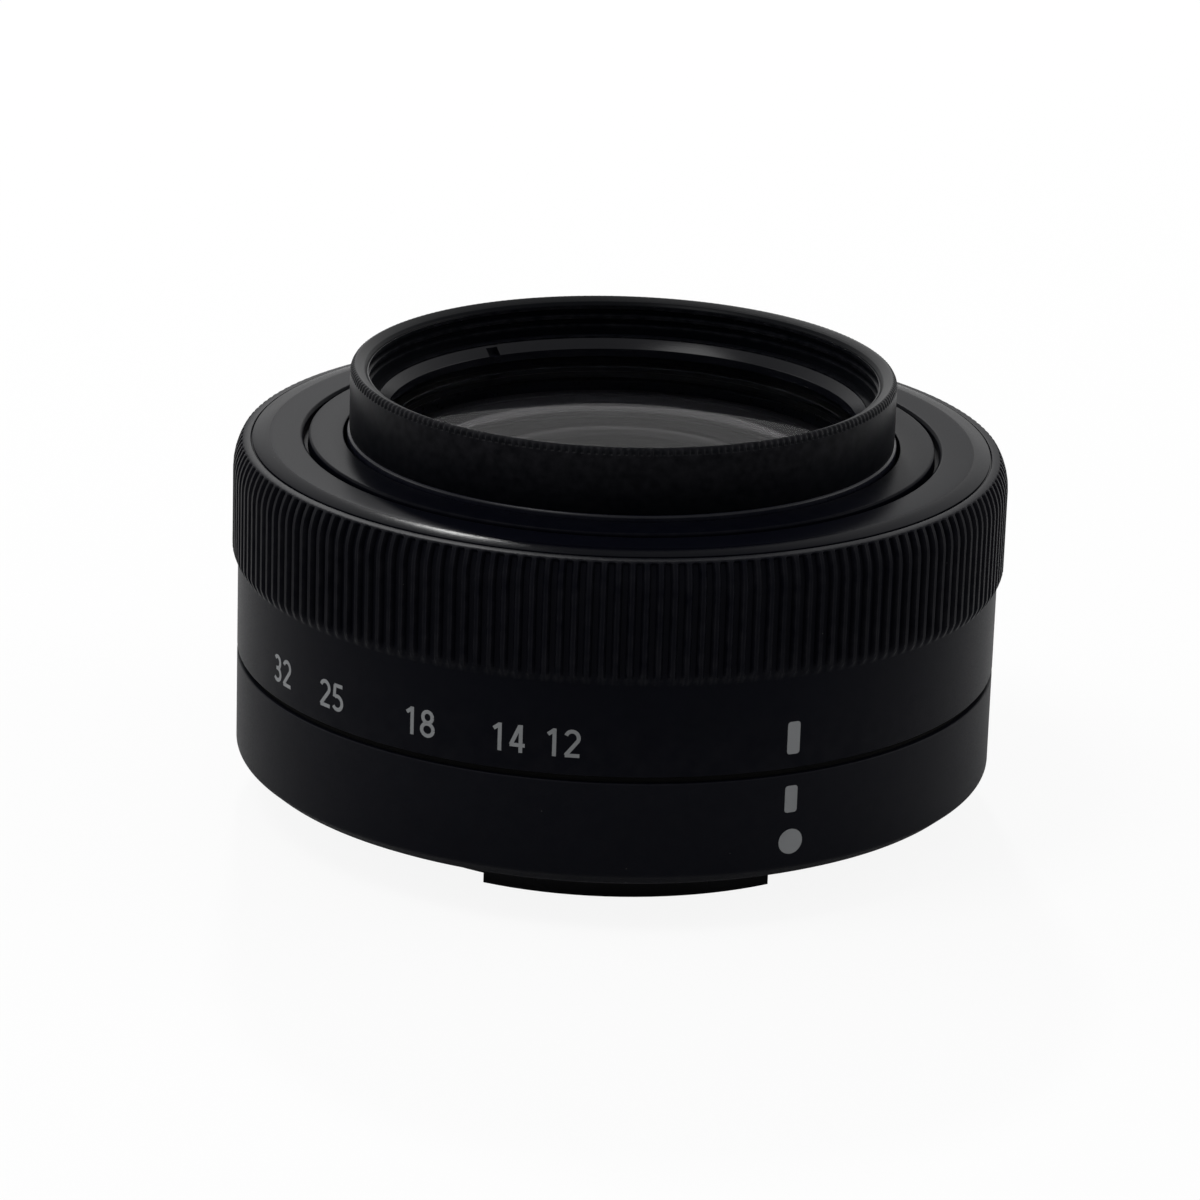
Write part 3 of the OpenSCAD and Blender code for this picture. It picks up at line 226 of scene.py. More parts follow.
class LensColours(bpy.types.PropertyGroup):
    """Colours of the finishes."""

    anodised: tint("Anodised black", "Body rings", (0.0011, 0.0013, 0.0029))
    filter_black: tint("Filter black", "Filter frame", (0.0005, 0.0008, 0.0016))
    worn_edge: tint("Worn edge", "Anodising thinned along the edges", (0.009, 0.009, 0.011))
    mark: tint("Mark paint", "Numbers and index marks", (0.15, 0.155, 0.16))
    plastic: tint("Moulded black", "Rear cover, frames and cells", (0.003, 0.003, 0.0038))
    # A very dark colour for the bayonet and flange, used all over them
    mount: tint("Dark mount", "Bayonet and flange", (0.02, 0.02, 0.022))
    matt: tint("Matt black", "Flat ring around the front lens", (0.014, 0.014, 0.016))
    floor: tint("Floor", "Plain pale floor", (0.8, 0.8, 0.8))


class LensStage(bpy.types.PropertyGroup):
    """Camera and light."""

    camera_place: bpy.props.FloatVectorProperty(
        name="Camera place", description="Where the camera stands", subtype="XYZ", unit="LENGTH",
        default=(-0.001182, -0.367268, 0.136453))
    camera_tilt: bpy.props.FloatProperty(
        name="Camera tilt", description="Angle of the view below the horizon", subtype="ANGLE",
        default=math.radians(18.765))
    camera_roll: bpy.props.FloatProperty(
        name="Camera roll", description="Turn of the view about its own line", subtype="ANGLE",
        default=math.radians(1.85))
    focal_length: bpy.props.FloatProperty(
        name="Focal length", description="Focal length on a 36 mm sensor", default=160.83)
    sky: bpy.props.FloatProperty(
        name="Sky strength", description="Even light from all round", default=0.45, min=0)
    key: power("Key power", "Soft lamp overhead", 1.3)
    back: power("Back power", "Soft lamp behind", 0.5)
    side: power("Side power", "Soft lamp at each side", 1.2)
    spark: power("Spark power", "Small lamp behind", 1.9)


# Modelling helpers

def clear_selection():
    """Leaves edit mode and selects nothing."""
    if bpy.context.object and bpy.context.object.mode != "OBJECT":
        bpy.ops.object.mode_set(mode="OBJECT")
    bpy.ops.object.select_all(action="DESELECT")


def named(name):
    """Names the object that was just added."""
    piece = bpy.context.object
    piece.name = name
    piece.data.name = name
    return piece


def edit_all():
    """Starts to edit the active mesh, with all of it selected."""
    bpy.ops.object.mode_set(mode="EDIT")
    bpy.ops.mesh.select_all(action="SELECT")


def eased(corners, closed=True):
    """Outline in mm from corners (radius, height, ease), with each eased corner as an arc."""
    points = []
    for index, (r, z, ease) in enumerate(corners):
        here = Vector((r, z))
        if not ease:
            points.append(here)
            continue
        before = Vector(corners[index - 1][:2])
        after = Vector(corners[(index + 1) % len(corners)][:2])
        start = here + (before - here).normalized() * ease
        end = here + (after - here).normalized() * ease
        for step in range(EASE_STEPS + 1):
            share = step / EASE_STEPS
            left = 1 - share
            points.append(left ** 2 * start + 2 * share * left * here + share ** 2 * end)
    if closed:
        points.append(points[0])
    return points


def dome(width, ball, peak, steps):
    """Points on the outline of a ball with its peak on the axis, out to a radius, in mm."""
    radii = [width * step / LENS_STEPS for step in steps]
    return [Vector((r, peak - ball + math.sqrt(ball ** 2 - r ** 2))) for r in radii]


def ridges_of(high, low, pitch, thread, land):
    """Corners (radius, height) of a thread's ridges from the top down, in mm."""
    corners = []
    for ridge in range(int((high - low) / pitch)):
        foot = high - (ridge + 1) * pitch
        for radius, share in ((thread, 0.8), (thread, 0.5), (land, 0.3), (land, 0)):
            corners.append((radius, foot + share * pitch))
    return corners


def plain(points):
    """Rows of a ribbed piece where it has no ribs."""
    return [(point.x, point.x, point.y) for point in points]


def close_up(piece):
    """Welds the mesh that is being edited, turns its faces outward and shades it."""
    bpy.ops.mesh.select_all(action="SELECT")
    bpy.ops.mesh.remove_doubles(threshold=WELD)
    bpy.ops.mesh.normals_make_consistent(inside=False)
    bpy.ops.object.mode_set(mode="OBJECT")
    bpy.ops.object.shade_smooth_by_angle(angle=SMOOTH_ANGLE)
    return piece


def turned(name, outline, steps):
    """Spins an outline in mm about the lens axis."""
    clear_selection()
    bpy.ops.mesh.primitive_plane_add(size=MM, location=(0, 0, 0))
    piece = named(name)
    edit_all()
    bpy.ops.mesh.merge(type="CENTER")
    last = Vector((0, 0))
    for index, point in enumerate(outline):
        step = (point - last) * MM
        move = (step.x, 0, step.y)
        if index:
            bpy.ops.mesh.extrude_vertices_move(TRANSFORM_OT_translate={"value": move})
        else:
            bpy.ops.transform.translate(value=move)
        last = point
    bpy.ops.mesh.select_all(action="SELECT")
    bpy.ops.mesh.spin(steps=steps, angle=2 * math.pi, center=(0, 0, 0), axis=(0, 0, 1))
    return close_up(piece)


def ribbed(name, ribs, columns, rows):
    """Models one rib and copies it round the axis.

    Rows are (crest radius, valley radius, height) in mm.
    Columns are (share of the pitch, rise from valley to crest).
    """
    clear_selection()
    bpy.ops.mesh.primitive_grid_add(
        x_subdivisions=len(columns) - 1, y_subdivisions=len(rows) - 1, size=2, location=(0, 0, 0))
    piece = named(name)
    bpy.ops.object.mode_set(mode="EDIT")
    rib = bmesh.from_edit_mesh(piece.data)
    if len(rib.verts) != len(columns) * len(rows):
        raise RuntimeError("the rib's grid doesn't match its rows and columns")
    pitch = 2 * math.pi / ribs
    for vert in rib.verts:
        share, rise = columns[round((vert.co.x + 1) / 2 * (len(columns) - 1))]
        crest, valley, height = rows[round((vert.co.y + 1) / 2 * (len(rows) - 1))]
        radius = valley + rise * (crest - valley)
        turn = share * pitch
        vert.co = Vector((radius * math.cos(turn), radius * math.sin(turn), height)) * MM
    bmesh.update_edit_mesh(piece.data)
    bpy.ops.mesh.select_all(action="SELECT")
    bpy.ops.mesh.spin(
        steps=ribs - 1, dupli=True, angle=pitch * (ribs - 1),
        center=(0, 0, 0), axis=(0, 0, 1))
    return close_up(piece)


def cut_round(piece, cuts):
    """Cuts boxes out of a ring: angle, width, inner radius, outer radius, low and high."""
    clear_selection()
    cutters = []
    for angle, width, inner, outer, low, high in cuts:
        turn = math.radians(angle)
        middle = (inner + outer) / 2 * MM
        bpy.ops.mesh.primitive_cube_add(
            size=1,
            location=(middle * math.cos(turn), middle * math.sin(turn), (low + high) / 2 * MM),
            rotation=(0, 0, turn),
            scale=((outer - inner) * MM, width * MM, (high - low) * MM))
        cutters.append(bpy.context.object)
    for cutter in cutters:
        cutter.select_set(True)
    bpy.ops.object.join()
    cutter = bpy.context.object
    clear_selection()
    bpy.context.view_layer.objects.active = piece
    piece.select_set(True)
    cut = piece.modifiers.new("cuts", "BOOLEAN")
    cut.operation = "DIFFERENCE"
    cut.solver = "EXACT"
    cut.object = cutter
    bpy.ops.object.modifier_apply(modifier=cut.name)
    bpy.data.objects.remove(cutter)
    bpy.ops.object.shade_smooth_by_angle(angle=SMOOTH_ANGLE)


def note_wear(piece):
    """Stores how sharply each outward edge turns, for the finish to wear there."""
    work = bmesh.new()
    work.from_mesh(piece.data)
    layer = work.verts.layers.float.new("wear")
    for vert in work.verts:
        turn = max(edge.calc_face_angle_signed(0.0) for edge in vert.link_edges)
        vert[layer] = min(1.0, max(0.0, turn) / SHARP_TURN)
    work.to_mesh(piece.data)
    work.free()


def paint(piece, finish):
    """Gives a piece one finish."""
    piece.data.materials.clear()
    piece.data.materials.append(finish_of(finish))


def dress(piece, finish, body, replaced=()):
    """Gives a new piece its finish, its body and the nodes it stands for."""
    paint(piece, finish)
    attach(piece, body)
    if replaced:
        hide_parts(*replaced)


def wrap(piece, radius, angle, height):
    """Lays a flat mark round the lens at a radius in m, an angle in degrees and a height in m."""
    for vert in piece.data.vertices:
        turn = math.radians(angle) + vert.co.x / radius
        out = radius + vert.co.z
        vert.co = (out * math.cos(turn), out * math.sin(turn), height + vert.co.y)


# Shader groups

def put(tree, kind, inputs=None, **settings):
    """Adds a node with its settings, and feeds its inputs values or other nodes' outputs."""
    node = tree.nodes.new(kind)
    for key, value in settings.items():
        setattr(node, key, value)
    for key, value in (inputs or {}).items():
        if isinstance(value, bpy.types.NodeSocket):
            tree.links.new(value, node.inputs[key])
        else:
            node.inputs[key].default_value = value
    return node


def maths(tree, operation, first, second):
    """Output of a maths node."""
    return put(tree, "ShaderNodeMath", {0: first, 1: second}, operation=operation).outputs[0]


def noise(tree, place, scale, detail, rough=0.5):
    """Output of a noise."""
    values = {"Vector": place, "Scale": scale, "Detail": detail, "Roughness": rough}
    return put(tree, "ShaderNodeTexNoise", values).outputs["Fac"]


def new_group(name, inputs, outputs):
    """Starts a shader group that takes a place and some numbers."""
    group = bpy.data.node_groups.new(name, "ShaderNodeTree")
    group.interface.new_socket("Vector", in_out="INPUT", socket_type="NodeSocketVector")
    for way, sockets in (("INPUT", inputs), ("OUTPUT", outputs)):
        for socket in sockets:
            group.interface.new_socket(socket, in_out=way, socket_type="NodeSocketFloat")
    given = group.nodes.new("NodeGroupInput").outputs
    return group, given, group.nodes.new("NodeGroupOutput").inputs


def make_fine_grain():
    """Blasted or moulded grain, with slow patches over it."""
    group, given, result = new_group("fine_grain", ["Scale"], ["Grain", "Patches"])
    slow = maths(group, "MULTIPLY", given["Scale"], PATCH_SCALE)
    group.links.new(noise(group, given["Vector"], given["Scale"], 5, 0.65), result["Grain"])
    group.links.new(noise(group, given["Vector"], slow, 3), result["Patches"])


def axis_radius(tree, place):
    """Distance from the lens axis, and height along it."""
    apart = put(tree, "ShaderNodeSeparateXYZ", {"Vector": place}).outputs
    flat = put(tree, "ShaderNodeCombineXYZ", {"X": apart["X"], "Y": apart["Y"]}).outputs[0]
    radius = put(tree, "ShaderNodeVectorMath", {0: flat}, operation="LENGTH")
    return radius.outputs["Value"], apart["Z"]


def make_turned_lines():
    """Fine lines that a lathe leaves around the axis."""
    group, given, result = new_group("turned_lines", ["Scale"], ["Lines"])
    radius, height = axis_radius(group, given["Vector"])
    ring = put(group, "ShaderNodeCombineXYZ", {"X": radius, "Z": height}).outputs[0]
    group.links.new(noise(group, ring, given["Scale"], 4, 0.7), result["Lines"])


def make_edge_wear():
    """Mask of the outward edges, broken up by noise."""
    group, given, result = new_group("edge_wear", ["Scale", "Amount"], ["Mask"])
    edge = put(group, "ShaderNodeAttribute", attribute_name="wear").outputs["Fac"]
    rough = noise(group, given["Vector"], given["Scale"], 4)
    broken = put(group, "ShaderNodeMapRange",
                 {"Value": rough, "From Min": WEAR_LOW, "From Max": WEAR_HIGH}).outputs[0]
    on_edge = maths(group, "MULTIPLY", edge, broken)
    mask = put(group, "ShaderNodeMath", {0: on_edge, 1: given["Amount"]},
               operation="MULTIPLY", use_clamp=True)
    group.links.new(mask.outputs[0], result["Mask"])


def make_dust():
    """Mask of scattered specks."""
    group, given, result = new_group("dust", ["Scale", "Size"], ["Mask"])
    cells = put(group, "ShaderNodeTexVoronoi",
                {"Vector": given["Vector"], "Scale": given["Scale"]}).outputs
    speck = maths(group, "LESS_THAN", cells["Distance"], given["Size"])
    red = put(group, "ShaderNodeSeparateColor", {"Color": cells["Color"]}).outputs["Red"]
    some = maths(group, "GREATER_THAN", red, DUST_CUT)
    group.links.new(maths(group, "MULTIPLY", speck, some), result["Mask"])


# Finishes

def new_finish(name):
    """Starts a material and returns it with its tree, its shader and Object coordinates."""
    finish = bpy.data.materials.new(name)
    finish.use_nodes = True
    tree = finish.node_tree
    shader = tree.nodes["Principled BSDF"]
    place = put(tree, "ShaderNodeTexCoord").outputs["Object"]
    return finish, tree, shader, place


def put_group(tree, group, place, **values):
    """Outputs of a shader group on Object coordinates."""
    made = bpy.data.node_groups[group]
    return put(tree, "ShaderNodeGroup", {"Vector": place, **values}, node_tree=made).outputs


def mix_colours(tree, mask, first, second):
    """Mixes two colours by a mask."""
    values = {0: mask, 6: first, 7: second}
    return put(tree, "ShaderNodeMix", values, data_type="RGBA").outputs[2]


def spread(tree, value, low, high):
    """Maps the middle of a noise's values to a range."""
    return put(tree, "ShaderNodeMapRange", {
        "Value": value, "From Min": NOISE_LOW, "From Max": NOISE_HIGH,
        "To Min": low, "To Max": high}).outputs[0]


def lay(tree, shader, colours, matt, height, depth):
    """Feeds colour, roughness and a height with its depth in microns to the shader."""
    bump = put(tree, "ShaderNodeBump",
               {"Height": height, "Distance": depth * MICRON, "Strength": 1.0})
    tree.links.new(colours, shader.inputs["Base Color"])
    tree.links.new(matt, shader.inputs["Roughness"])
    tree.links.new(bump.outputs["Normal"], shader.inputs["Normal"])


def shaded(colour, factor):
    """A colour made lighter or darker."""
    return (colour[0] * factor, colour[1] * factor, colour[2] * factor, 1)


def anodised(name, colour, worn, rough, gloss, grain_scale, grain_depth, wear, bevel_from=0.0):
    """Black anodised aluminium: blasted grain, worn edges, dust and a smoother outer bevel."""
    finish, tree, shader, place = new_finish(name)
    grain = put_group(tree, "fine_grain", place, Scale=grain_scale)
    edge = put_group(tree, "edge_wear", place, Scale=WEAR_SCALE, Amount=wear)
    specks = put_group(tree, "dust", place, Scale=DUST_SCALE, Size=DUST_SIZE)
    colours = mix_colours(tree, grain["Patches"], shaded(colour, 0.88), shaded(colour, 1.14))
    colours = mix_colours(tree, edge["Mask"], colours, tuple(worn))
    colours = mix_colours(tree, specks["Mask"], colours, shaded(WHITE, DUST_GREY))
    matt = spread(tree, grain["Grain"], rough - 0.05, rough + 0.06)
    if bevel_from:
        bevel = maths(tree, "GREATER_THAN", axis_radius(tree, place)[0], bevel_from * MM)
        matt = put(tree, "ShaderNodeMix", {0: bevel, 2: matt, 3: BEVEL_ROUGH}).outputs[0]
    lay(tree, shader, colours, matt, grain["Grain"], grain_depth)
    shader.inputs["Specular IOR Level"].default_value = gloss
    return finish


def lathe_black(name, colour, worn, rough, gloss, wear):
    """Black anodised aluminium with the lathe's lines still showing."""
    finish, tree, shader, place = new_finish(name)
    lines = put_group(tree, "turned_lines", place, Scale=9000.0)
    grain = put_group(tree, "fine_grain", place, Scale=12000.0)
    edge = put_group(tree, "edge_wear", place, Scale=1500.0, Amount=wear)
    colours = mix_colours(tree, lines["Lines"], shaded(colour, 0.85), shaded(colour, 1.18))
    colours = mix_colours(tree, edge["Mask"], colours, tuple(worn))
    matt = spread(tree, grain["Grain"], rough - 0.04, rough + 0.05)
    lay(tree, shader, colours, matt, lines["Lines"], LATHE_DEPTH)
    shader.inputs["Specular IOR Level"].default_value = gloss
    return finish


def plated(name, colour, rough, line_depth):
    """Bright turned metal."""
    finish, tree, shader, place = new_finish(name)
    lines = put_group(tree, "turned_lines", place, Scale=7000.0)
    grain = put_group(tree, "fine_grain", place, Scale=5000.0)
    colours = mix_colours(tree, lines["Lines"], shaded(colour, 0.86), shaded(colour, 1.08))
    matt = spread(tree, grain["Patches"], rough - 0.05, rough + 0.08)
    lay(tree, shader, colours, matt, lines["Lines"], line_depth)
    shader.inputs["Metallic"].default_value = 1.0
    return finish


def moulded(name, colour, rough, gloss, grain_scale, grain_depth):
    """Moulded plastic, felt or laminate with a fine grain."""
    finish, tree, shader, place = new_finish(name)
    grain = put_group(tree, "fine_grain", place, Scale=grain_scale)
    colours = mix_colours(tree, grain["Patches"], shaded(colour, 0.8), shaded(colour, 1.25))
    matt = spread(tree, grain["Grain"], rough - 0.06, rough + 0.06)
    lay(tree, shader, colours, matt, grain["Grain"], grain_depth)
    shader.inputs["Specular IOR Level"].default_value = gloss
    return finish


def coated_glass(name, colour, ior, haze):
    """Clear coated glass with a trace of haze."""
    finish, tree, shader, place = new_finish(name)
    grain = put_group(tree, "fine_grain", place, Scale=2500.0)
    shader.inputs["Base Color"].default_value = colour
    shader.inputs["Transmission Weight"].default_value = 1.0
    shader.inputs["IOR"].default_value = ior
    tree.links.new(spread(tree, grain["Patches"], 0.0, haze), shader.inputs["Roughness"])
    return finish


def make_finishes(colours):
    """Makes every finish once."""
    for make in (make_fine_grain, make_turned_lines, make_edge_wear, make_dust):
        make()
    black, worn, dark = colours.anodised, colours.worn_edge, colours.filter_black
    # The inner barrel takes lighter copies: the body black made twice as light, and the worn edge
    # 2.2 times as light. Its worn edges are partly wear and partly painted highlight, so the rim
    # and thread ridges show as light lines inside the dark tube.
    pale, worn_with_painted_highlight = shaded(black, 2.0), shaded(worn, 2.2)
    return {
        # Colour, worn colour, roughness, gloss, grain scale and depth, edge wear, bevel radius
        "ring": anodised("ring_anodised", black, worn, 0.46, 0.046, 9000.0, 8, 0.5),
        "grip": anodised("grip_anodised", black, worn, 0.42, 0.03, 9000.0, 6, 0.9),
        "cover": anodised("cover_anodised", black, worn, 0.34, 0.014, 9000.0, 3, 0.5, BEVEL_FROM),
        # Painted light: lit copies of the body black and of the worn edge, with the edges as
        # painted highlight
        "inner": anodised("inner_anodised", pale, worn_with_painted_highlight, 0.3, 0.12, 3000.0, 1, 1.0),
        # Colour, worn colour, roughness, gloss, edge wear
        "barrel": lathe_black("barrel_anodised", black, worn, 0.34, 0.03, 0.8),
        "filter": lathe_black("filter_anodised", dark, worn, 0.32, 0.036, 0.9),
        "retainer": lathe_black("retainer_anodised", black, worn, 0.22, 0.12, 0.9),
        # Colour, roughness, gloss, grain scale and depth
        "matt_ring": moulded("front_ring_matt", colours.matt, 0.7, 0.0, 4000.0, 1),
        "mark": moulded("mark_paint", colours.mark, 0.55, 0.3, 6000.0, 3),
        "plastic": moulded("moulded_black", colours.plastic, 0.5, 0.3, 5000.0, 10),
        "felt": moulded("seal_felt", (0.003, 0.003, 0.003), 0.9, 0.05, 9000.0, 30),
        "board": moulded("board_laminate", (0.02, 0.11, 0.05), 0.4, 0.4, 3000.0, 4),
        "flex": moulded("flex_film", (0.28, 0.11, 0.02), 0.35, 0.4, 3000.0, 3),
        "pins": moulded("pin_resin", (0.55, 0.53, 0.47), 0.45, 0.4, 5000.0, 4),
        "blade": moulded("blade_coating", (0.012, 0.012, 0.014), 0.4, 0.3, 8000.0, 3),
        # Colour, roughness, depth of the lathe's lines
        "mount": plated("mount_plating", colours.mount, 0.24, 3),
        "screw": plated("screw_steel", (0.5, 0.5, 0.51), 0.28, 3),
        "gold": plated("contact_gold", (0.83, 0.6, 0.24), 0.2, 2),
        "steel": plated("bright_steel", (0.56, 0.56, 0.58), 0.3, 3),
        "copper": plated("copper_wire", (0.72, 0.36, 0.18), 0.35, 6),
        # Colour, refractive index, haze
        "front_glass": coated_glass("front_glass", (0.96, 0.93, 0.97, 1), 1.5, 0.03),
        "lens_glass": coated_glass("inner_glass", (0.93, 0.96, 0.98, 1), 1.2, 0.02),
        "filter_glass": coated_glass("filter_glass", WHITE, 1.037, 0.002),
    }


FINISHES = {}


def finish_of(name):
    """The finish with that name, made on first use."""
    if not bpy.data.node_groups.get("fine_grain"):
        FINISHES.update(make_finishes(bpy.context.scene.lens_colours))
    return FINISHES[name]


# Printed marks

def arc(middle, reach_x, reach_y, start, end):
    """Points of an arc in a digit's own unit box, from a start to an end angle in degrees."""
    angles = [math.radians(start + (end - start) * step / ARC_STEPS)
              for step in range(ARC_STEPS + 1)]
    return [(middle[0] + reach_x * math.cos(angle), middle[1] + reach_y * math.sin(angle))
            for angle in angles]


# Centre lines of the digits in a unit box
DIGITS = {
    "1": [[(0.10, 0.78), (0.32, 0.95)], [(0.32, 1.0), (0.32, 0.0)]],
    "2": [arc((0.27, 0.70), 0.22, 0.235, 160, -25) + [(0.05, 0.065)],
          [(0.03, 0.065), (0.53, 0.065)]],
    "3": [arc((0.24, 0.72), 0.20, 0.215, 140, -90) + [(0.16, 0.505)],
          arc((0.24, 0.285), 0.23, 0.22, 90, -145)],
    "4": [[(0.40, 1.0), (0.40, 0.0)], [(0.37, 0.97), (0.06, 0.27)], [(0.02, 0.27), (0.55, 0.27)]],
    "5": [[(0.50, 0.935), (0.10, 0.935)], [(0.13, 0.94), (0.10, 0.50)],
          arc((0.25, 0.31), 0.235, 0.245, 120, -145)],
    "8": [arc((0.27, 0.735), 0.185, 0.20, 0, 360), arc((0.27, 0.285), 0.225, 0.22, 0, 360)],
}


def ribbon(points, width):
    """A flat band along a line of points, on a grid of two rows."""
    clear_selection()
    bpy.ops.mesh.primitive_grid_add(
        x_subdivisions=len(points) - 1, y_subdivisions=1, size=2, location=(0, 0, 0))
    band = bpy.context.object
    line = [Vector(point) for point in points]
    for vert in band.data.vertices:
        index = round((vert.co.x + 1) / 2 * (len(line) - 1))
        ahead = (line[min(index + 1, len(line) - 1)] - line[max(index - 1, 0)]).normalized()
        side = Vector((-ahead.y, ahead.x)) * math.copysign(width / 2, vert.co.y)
        vert.co = (line[index].x + side.x, line[index].y + side.y, 0)
    return band


def printed_number(digits, radius, angle, height):
    """A number printed on the zoom ring."""
    sizes = bpy.context.scene.lens_sizes
    bands = []
    for index, digit in enumerate(digits):
        for stroke in DIGITS[digit]:
            moved = [(x + index * DIGIT_STEP, y) for x, y in stroke]
            bands.append(ribbon(moved, sizes.stroke_width))
    clear_selection()
    for band in bands:
        band.select_set(True)
    bpy.ops.object.join()
    piece = named("number_" + digits)
    low = min(vert.co.x for vert in piece.data.vertices)
    high = max(vert.co.x for vert in piece.data.vertices)
    for vert in piece.data.vertices:
        vert.co.x = (vert.co.x - (low + high) / 2) * sizes.digit_height
        vert.co.y = (vert.co.y - 0.5) * sizes.digit_height
    edit_all()
    return raised(piece, sizes.print_rise, radius, angle, height)


def printed_bar(name, width, length, radius, angle, height):
    """An index bar with small round corners."""
    sizes = bpy.context.scene.lens_sizes
    clear_selection()
    bpy.ops.mesh.primitive_plane_add(size=1, location=(0, 0, 0))
    piece = named(name)
    edit_all()
    bpy.ops.transform.resize(value=(width, length, 1))
    bpy.ops.mesh.bevel(offset=width * BAR_CORNER, segments=BAR_CORNER_STEPS, affect="VERTICES")
    bpy.ops.mesh.select_all(action="SELECT")
    return raised(piece, sizes.print_rise, radius, angle, height)


def printed_dot(name, dot_radius, radius, angle, height):
    """A round index dot."""
    sizes = bpy.context.scene.lens_sizes
    clear_selection()
    bpy.ops.mesh.primitive_circle_add(
        vertices=DOT_SIDES, radius=dot_radius, fill_type="NGON", location=(0, 0, 0))
    piece = named(name)
    edit_all()
    bpy.ops.mesh.inset(thickness=dot_radius * DOT_INSET)
    bpy.ops.mesh.select_all(action="SELECT")
    return raised(piece, sizes.print_rise, radius, angle, height)


def raised(piece, rise, radius, angle, height):
    """Gives a flat mark its thickness and lays it on the lens."""
    bpy.ops.transform.translate(value=(0, 0, -rise / 4))
    bpy.ops.mesh.extrude_region_move(TRANSFORM_OT_translate={"value": (0, 0, rise)})
    bpy.ops.mesh.select_all(action="SELECT")
    bpy.ops.mesh.normals_make_consistent(inside=False)
    bpy.ops.object.mode_set(mode="OBJECT")
    wrap(piece, radius, angle, height)
    return piece


# Operators

class LENS_OT_base_ring(bpy.types.Operator):
    """Models the base ring with its index bar and dot"""

    bl_idname = "lens.base_ring"
    bl_label = "Base ring"

    def execute(self, context):
        sizes = context.scene.lens_sizes
        outer, low, high = extent("base_ring")
        sleeve, flange = reach("fixed_barrel"), top("mount_ring")
        bore = reach("mount_ring") + MOUNT_PLAY
        outline = eased([
            (bore, low, 0.05),
            (outer - CHAMFER_WIDTH, low, 0.1),
            (outer, low + CHAMFER_HEIGHT, 0.2),
            (outer, high, sizes.edge_ease / MM),
            (sleeve, high, 0),
            (sleeve, flange, 0),
            (bore, flange, 0),
        ])
        ring = turned("base_ring_turned", outline, sizes.spin_steps)
        note_wear(ring)
        dress(ring, "ring", "base", ["base_ring"])
        bar = printed_bar("base_index_bar", radius=outer * MM, **BASE_BAR)
        dot = printed_dot("base_index_dot", radius=outer * MM, **BASE_DOT)
        for mark in (bar, dot):
            dress(mark, "mark", "base")
        return {"FINISHED"}


class LENS_OT_zoom_ring(bpy.types.Operator):
    """Models the ribbed zoom ring with its numbers and index bar"""

    bl_idname = "lens.zoom_ring"
    bl_label = "Zoom ring"

    def execute(self, context):
        sizes = context.scene.lens_sizes
        rows = self.rows(sizes.edge_ease / MM, sizes.rib_depth / MM)
        ring = ribbed("zoom_ring_ribbed", sizes.rib_count, RIB_COLUMNS, rows)
        note_wear(ring)
        dress(ring, "grip", "zoom_ring", ["zoom_ring"])
        face = reach("base_ring") * MM
        marks = [printed_number(digits, face, angle, NUMBER_HEIGHT) for digits, angle in NUMBERS]
        marks.append(printed_bar("zoom_index_bar", radius=face, **ZOOM_BAR))
        for mark in marks:
            dress(mark, "mark", "zoom_ring")
        return {"FINISHED"}

    def rows(self, ease, depth):
        """Rows of one rib, up the band and the grip, over the crown and down the bore."""
        crest, low, high = extent("zoom_ring")
        cover, cover_low, face = extent("front_cover")
        band, cam = reach("base_ring"), reach("cam_barrel")
        bore, step = reach("fixed_barrel") + SLEEVE_PLAY, top("fixed_barrel") + STEP_PLAY
        valley, edge = crest - depth, crest - CROWN_DROP
        rows = [(bore, bore, low)]
        for share in range(EASE_STEPS + 1):
            turn = share / EASE_STEPS * math.pi / 2
            radius = band - ease + ease * math.sin(turn)
            rows.append((radius, radius, low + ease - ease * math.cos(turn)))
        rows += [
            (band, band, GRIP_FOOT - 0.12),
            (band + 0.02, band + 0.02, GRIP_FOOT),
            (band + 0.2, valley - 0.01, GRIP_FOOT + 0.3),
            (crest - 0.06, valley, GRIP_FOOT + 0.64),
            (crest, valley, GRIP_FOOT + 0.86),
            (crest, valley, GRIP_STRAIGHT),
        ]
        ball = (CROWN_HEIGHT ** 2 + CROWN_DROP ** 2) / (2 * CROWN_DROP)
        for share, sink in CROWN_SINKS:
            rise = share * CROWN_HEIGHT
            radius = crest - ball + math.sqrt(ball ** 2 - rise ** 2)
            rows.append((radius, radius - depth - sink, face - CROWN_BELOW_FACE + rise))
        rows += [
            (edge, edge - 0.12, high - 0.2),
            (edge - 0.05, edge - 0.12, high - 0.15),
            (edge - 0.14, edge - 0.15, high - 0.11),
            (edge - 0.22, edge - 0.22, high - 0.09),
            (cover + 0.07, cover + 0.07, high - 0.03),
            (cover + 0.03, cover + 0.03, high - 0.04),
            (cover, cover, high - 0.1),
            (cover, cover, cover_low),
            (cam, cam, cover_low),
            (cam, cam, step),
            (bore, bore, step),
            rows[0],
        ]
        return rows


class LENS_OT_front_cover(bpy.types.Operator):
    """Models the flat cover ring on the zoom ring's front"""

    bl_idname = "lens.front_cover"
    bl_label = "Front cover ring"

    def execute(self, context):
        outer, low, high = extent("front_cover")
        inner, bevel_low = reach("middle_barrel") + COVER_GAP, top("zoom_ring")
        outline = eased([
            (inner - COVER_FOOT, low, 0),
            (outer, low, 0),
            (outer, bevel_low - 0.15, 0),
            (outer - 0.1, bevel_low - 0.12, 0),
            (outer - 0.1, bevel_low + 0.02, 0.03),
            (outer - COVER_BEVEL, high, 0.4),
            (inner + 0.2, high, 0.08),
            (inner, high - 0.2, 0.08),
            (inner, low + COVER_FOOT, 0),
            (inner - COVER_FOOT, low + COVER_FOOT, 0),
        ])
        ring = turned("front_cover_turned", outline, context.scene.lens_sizes.spin_steps)
        note_wear(ring)
        dress(ring, "cover", "zoom_ring", ["front_cover"])
        return {"FINISHED"}


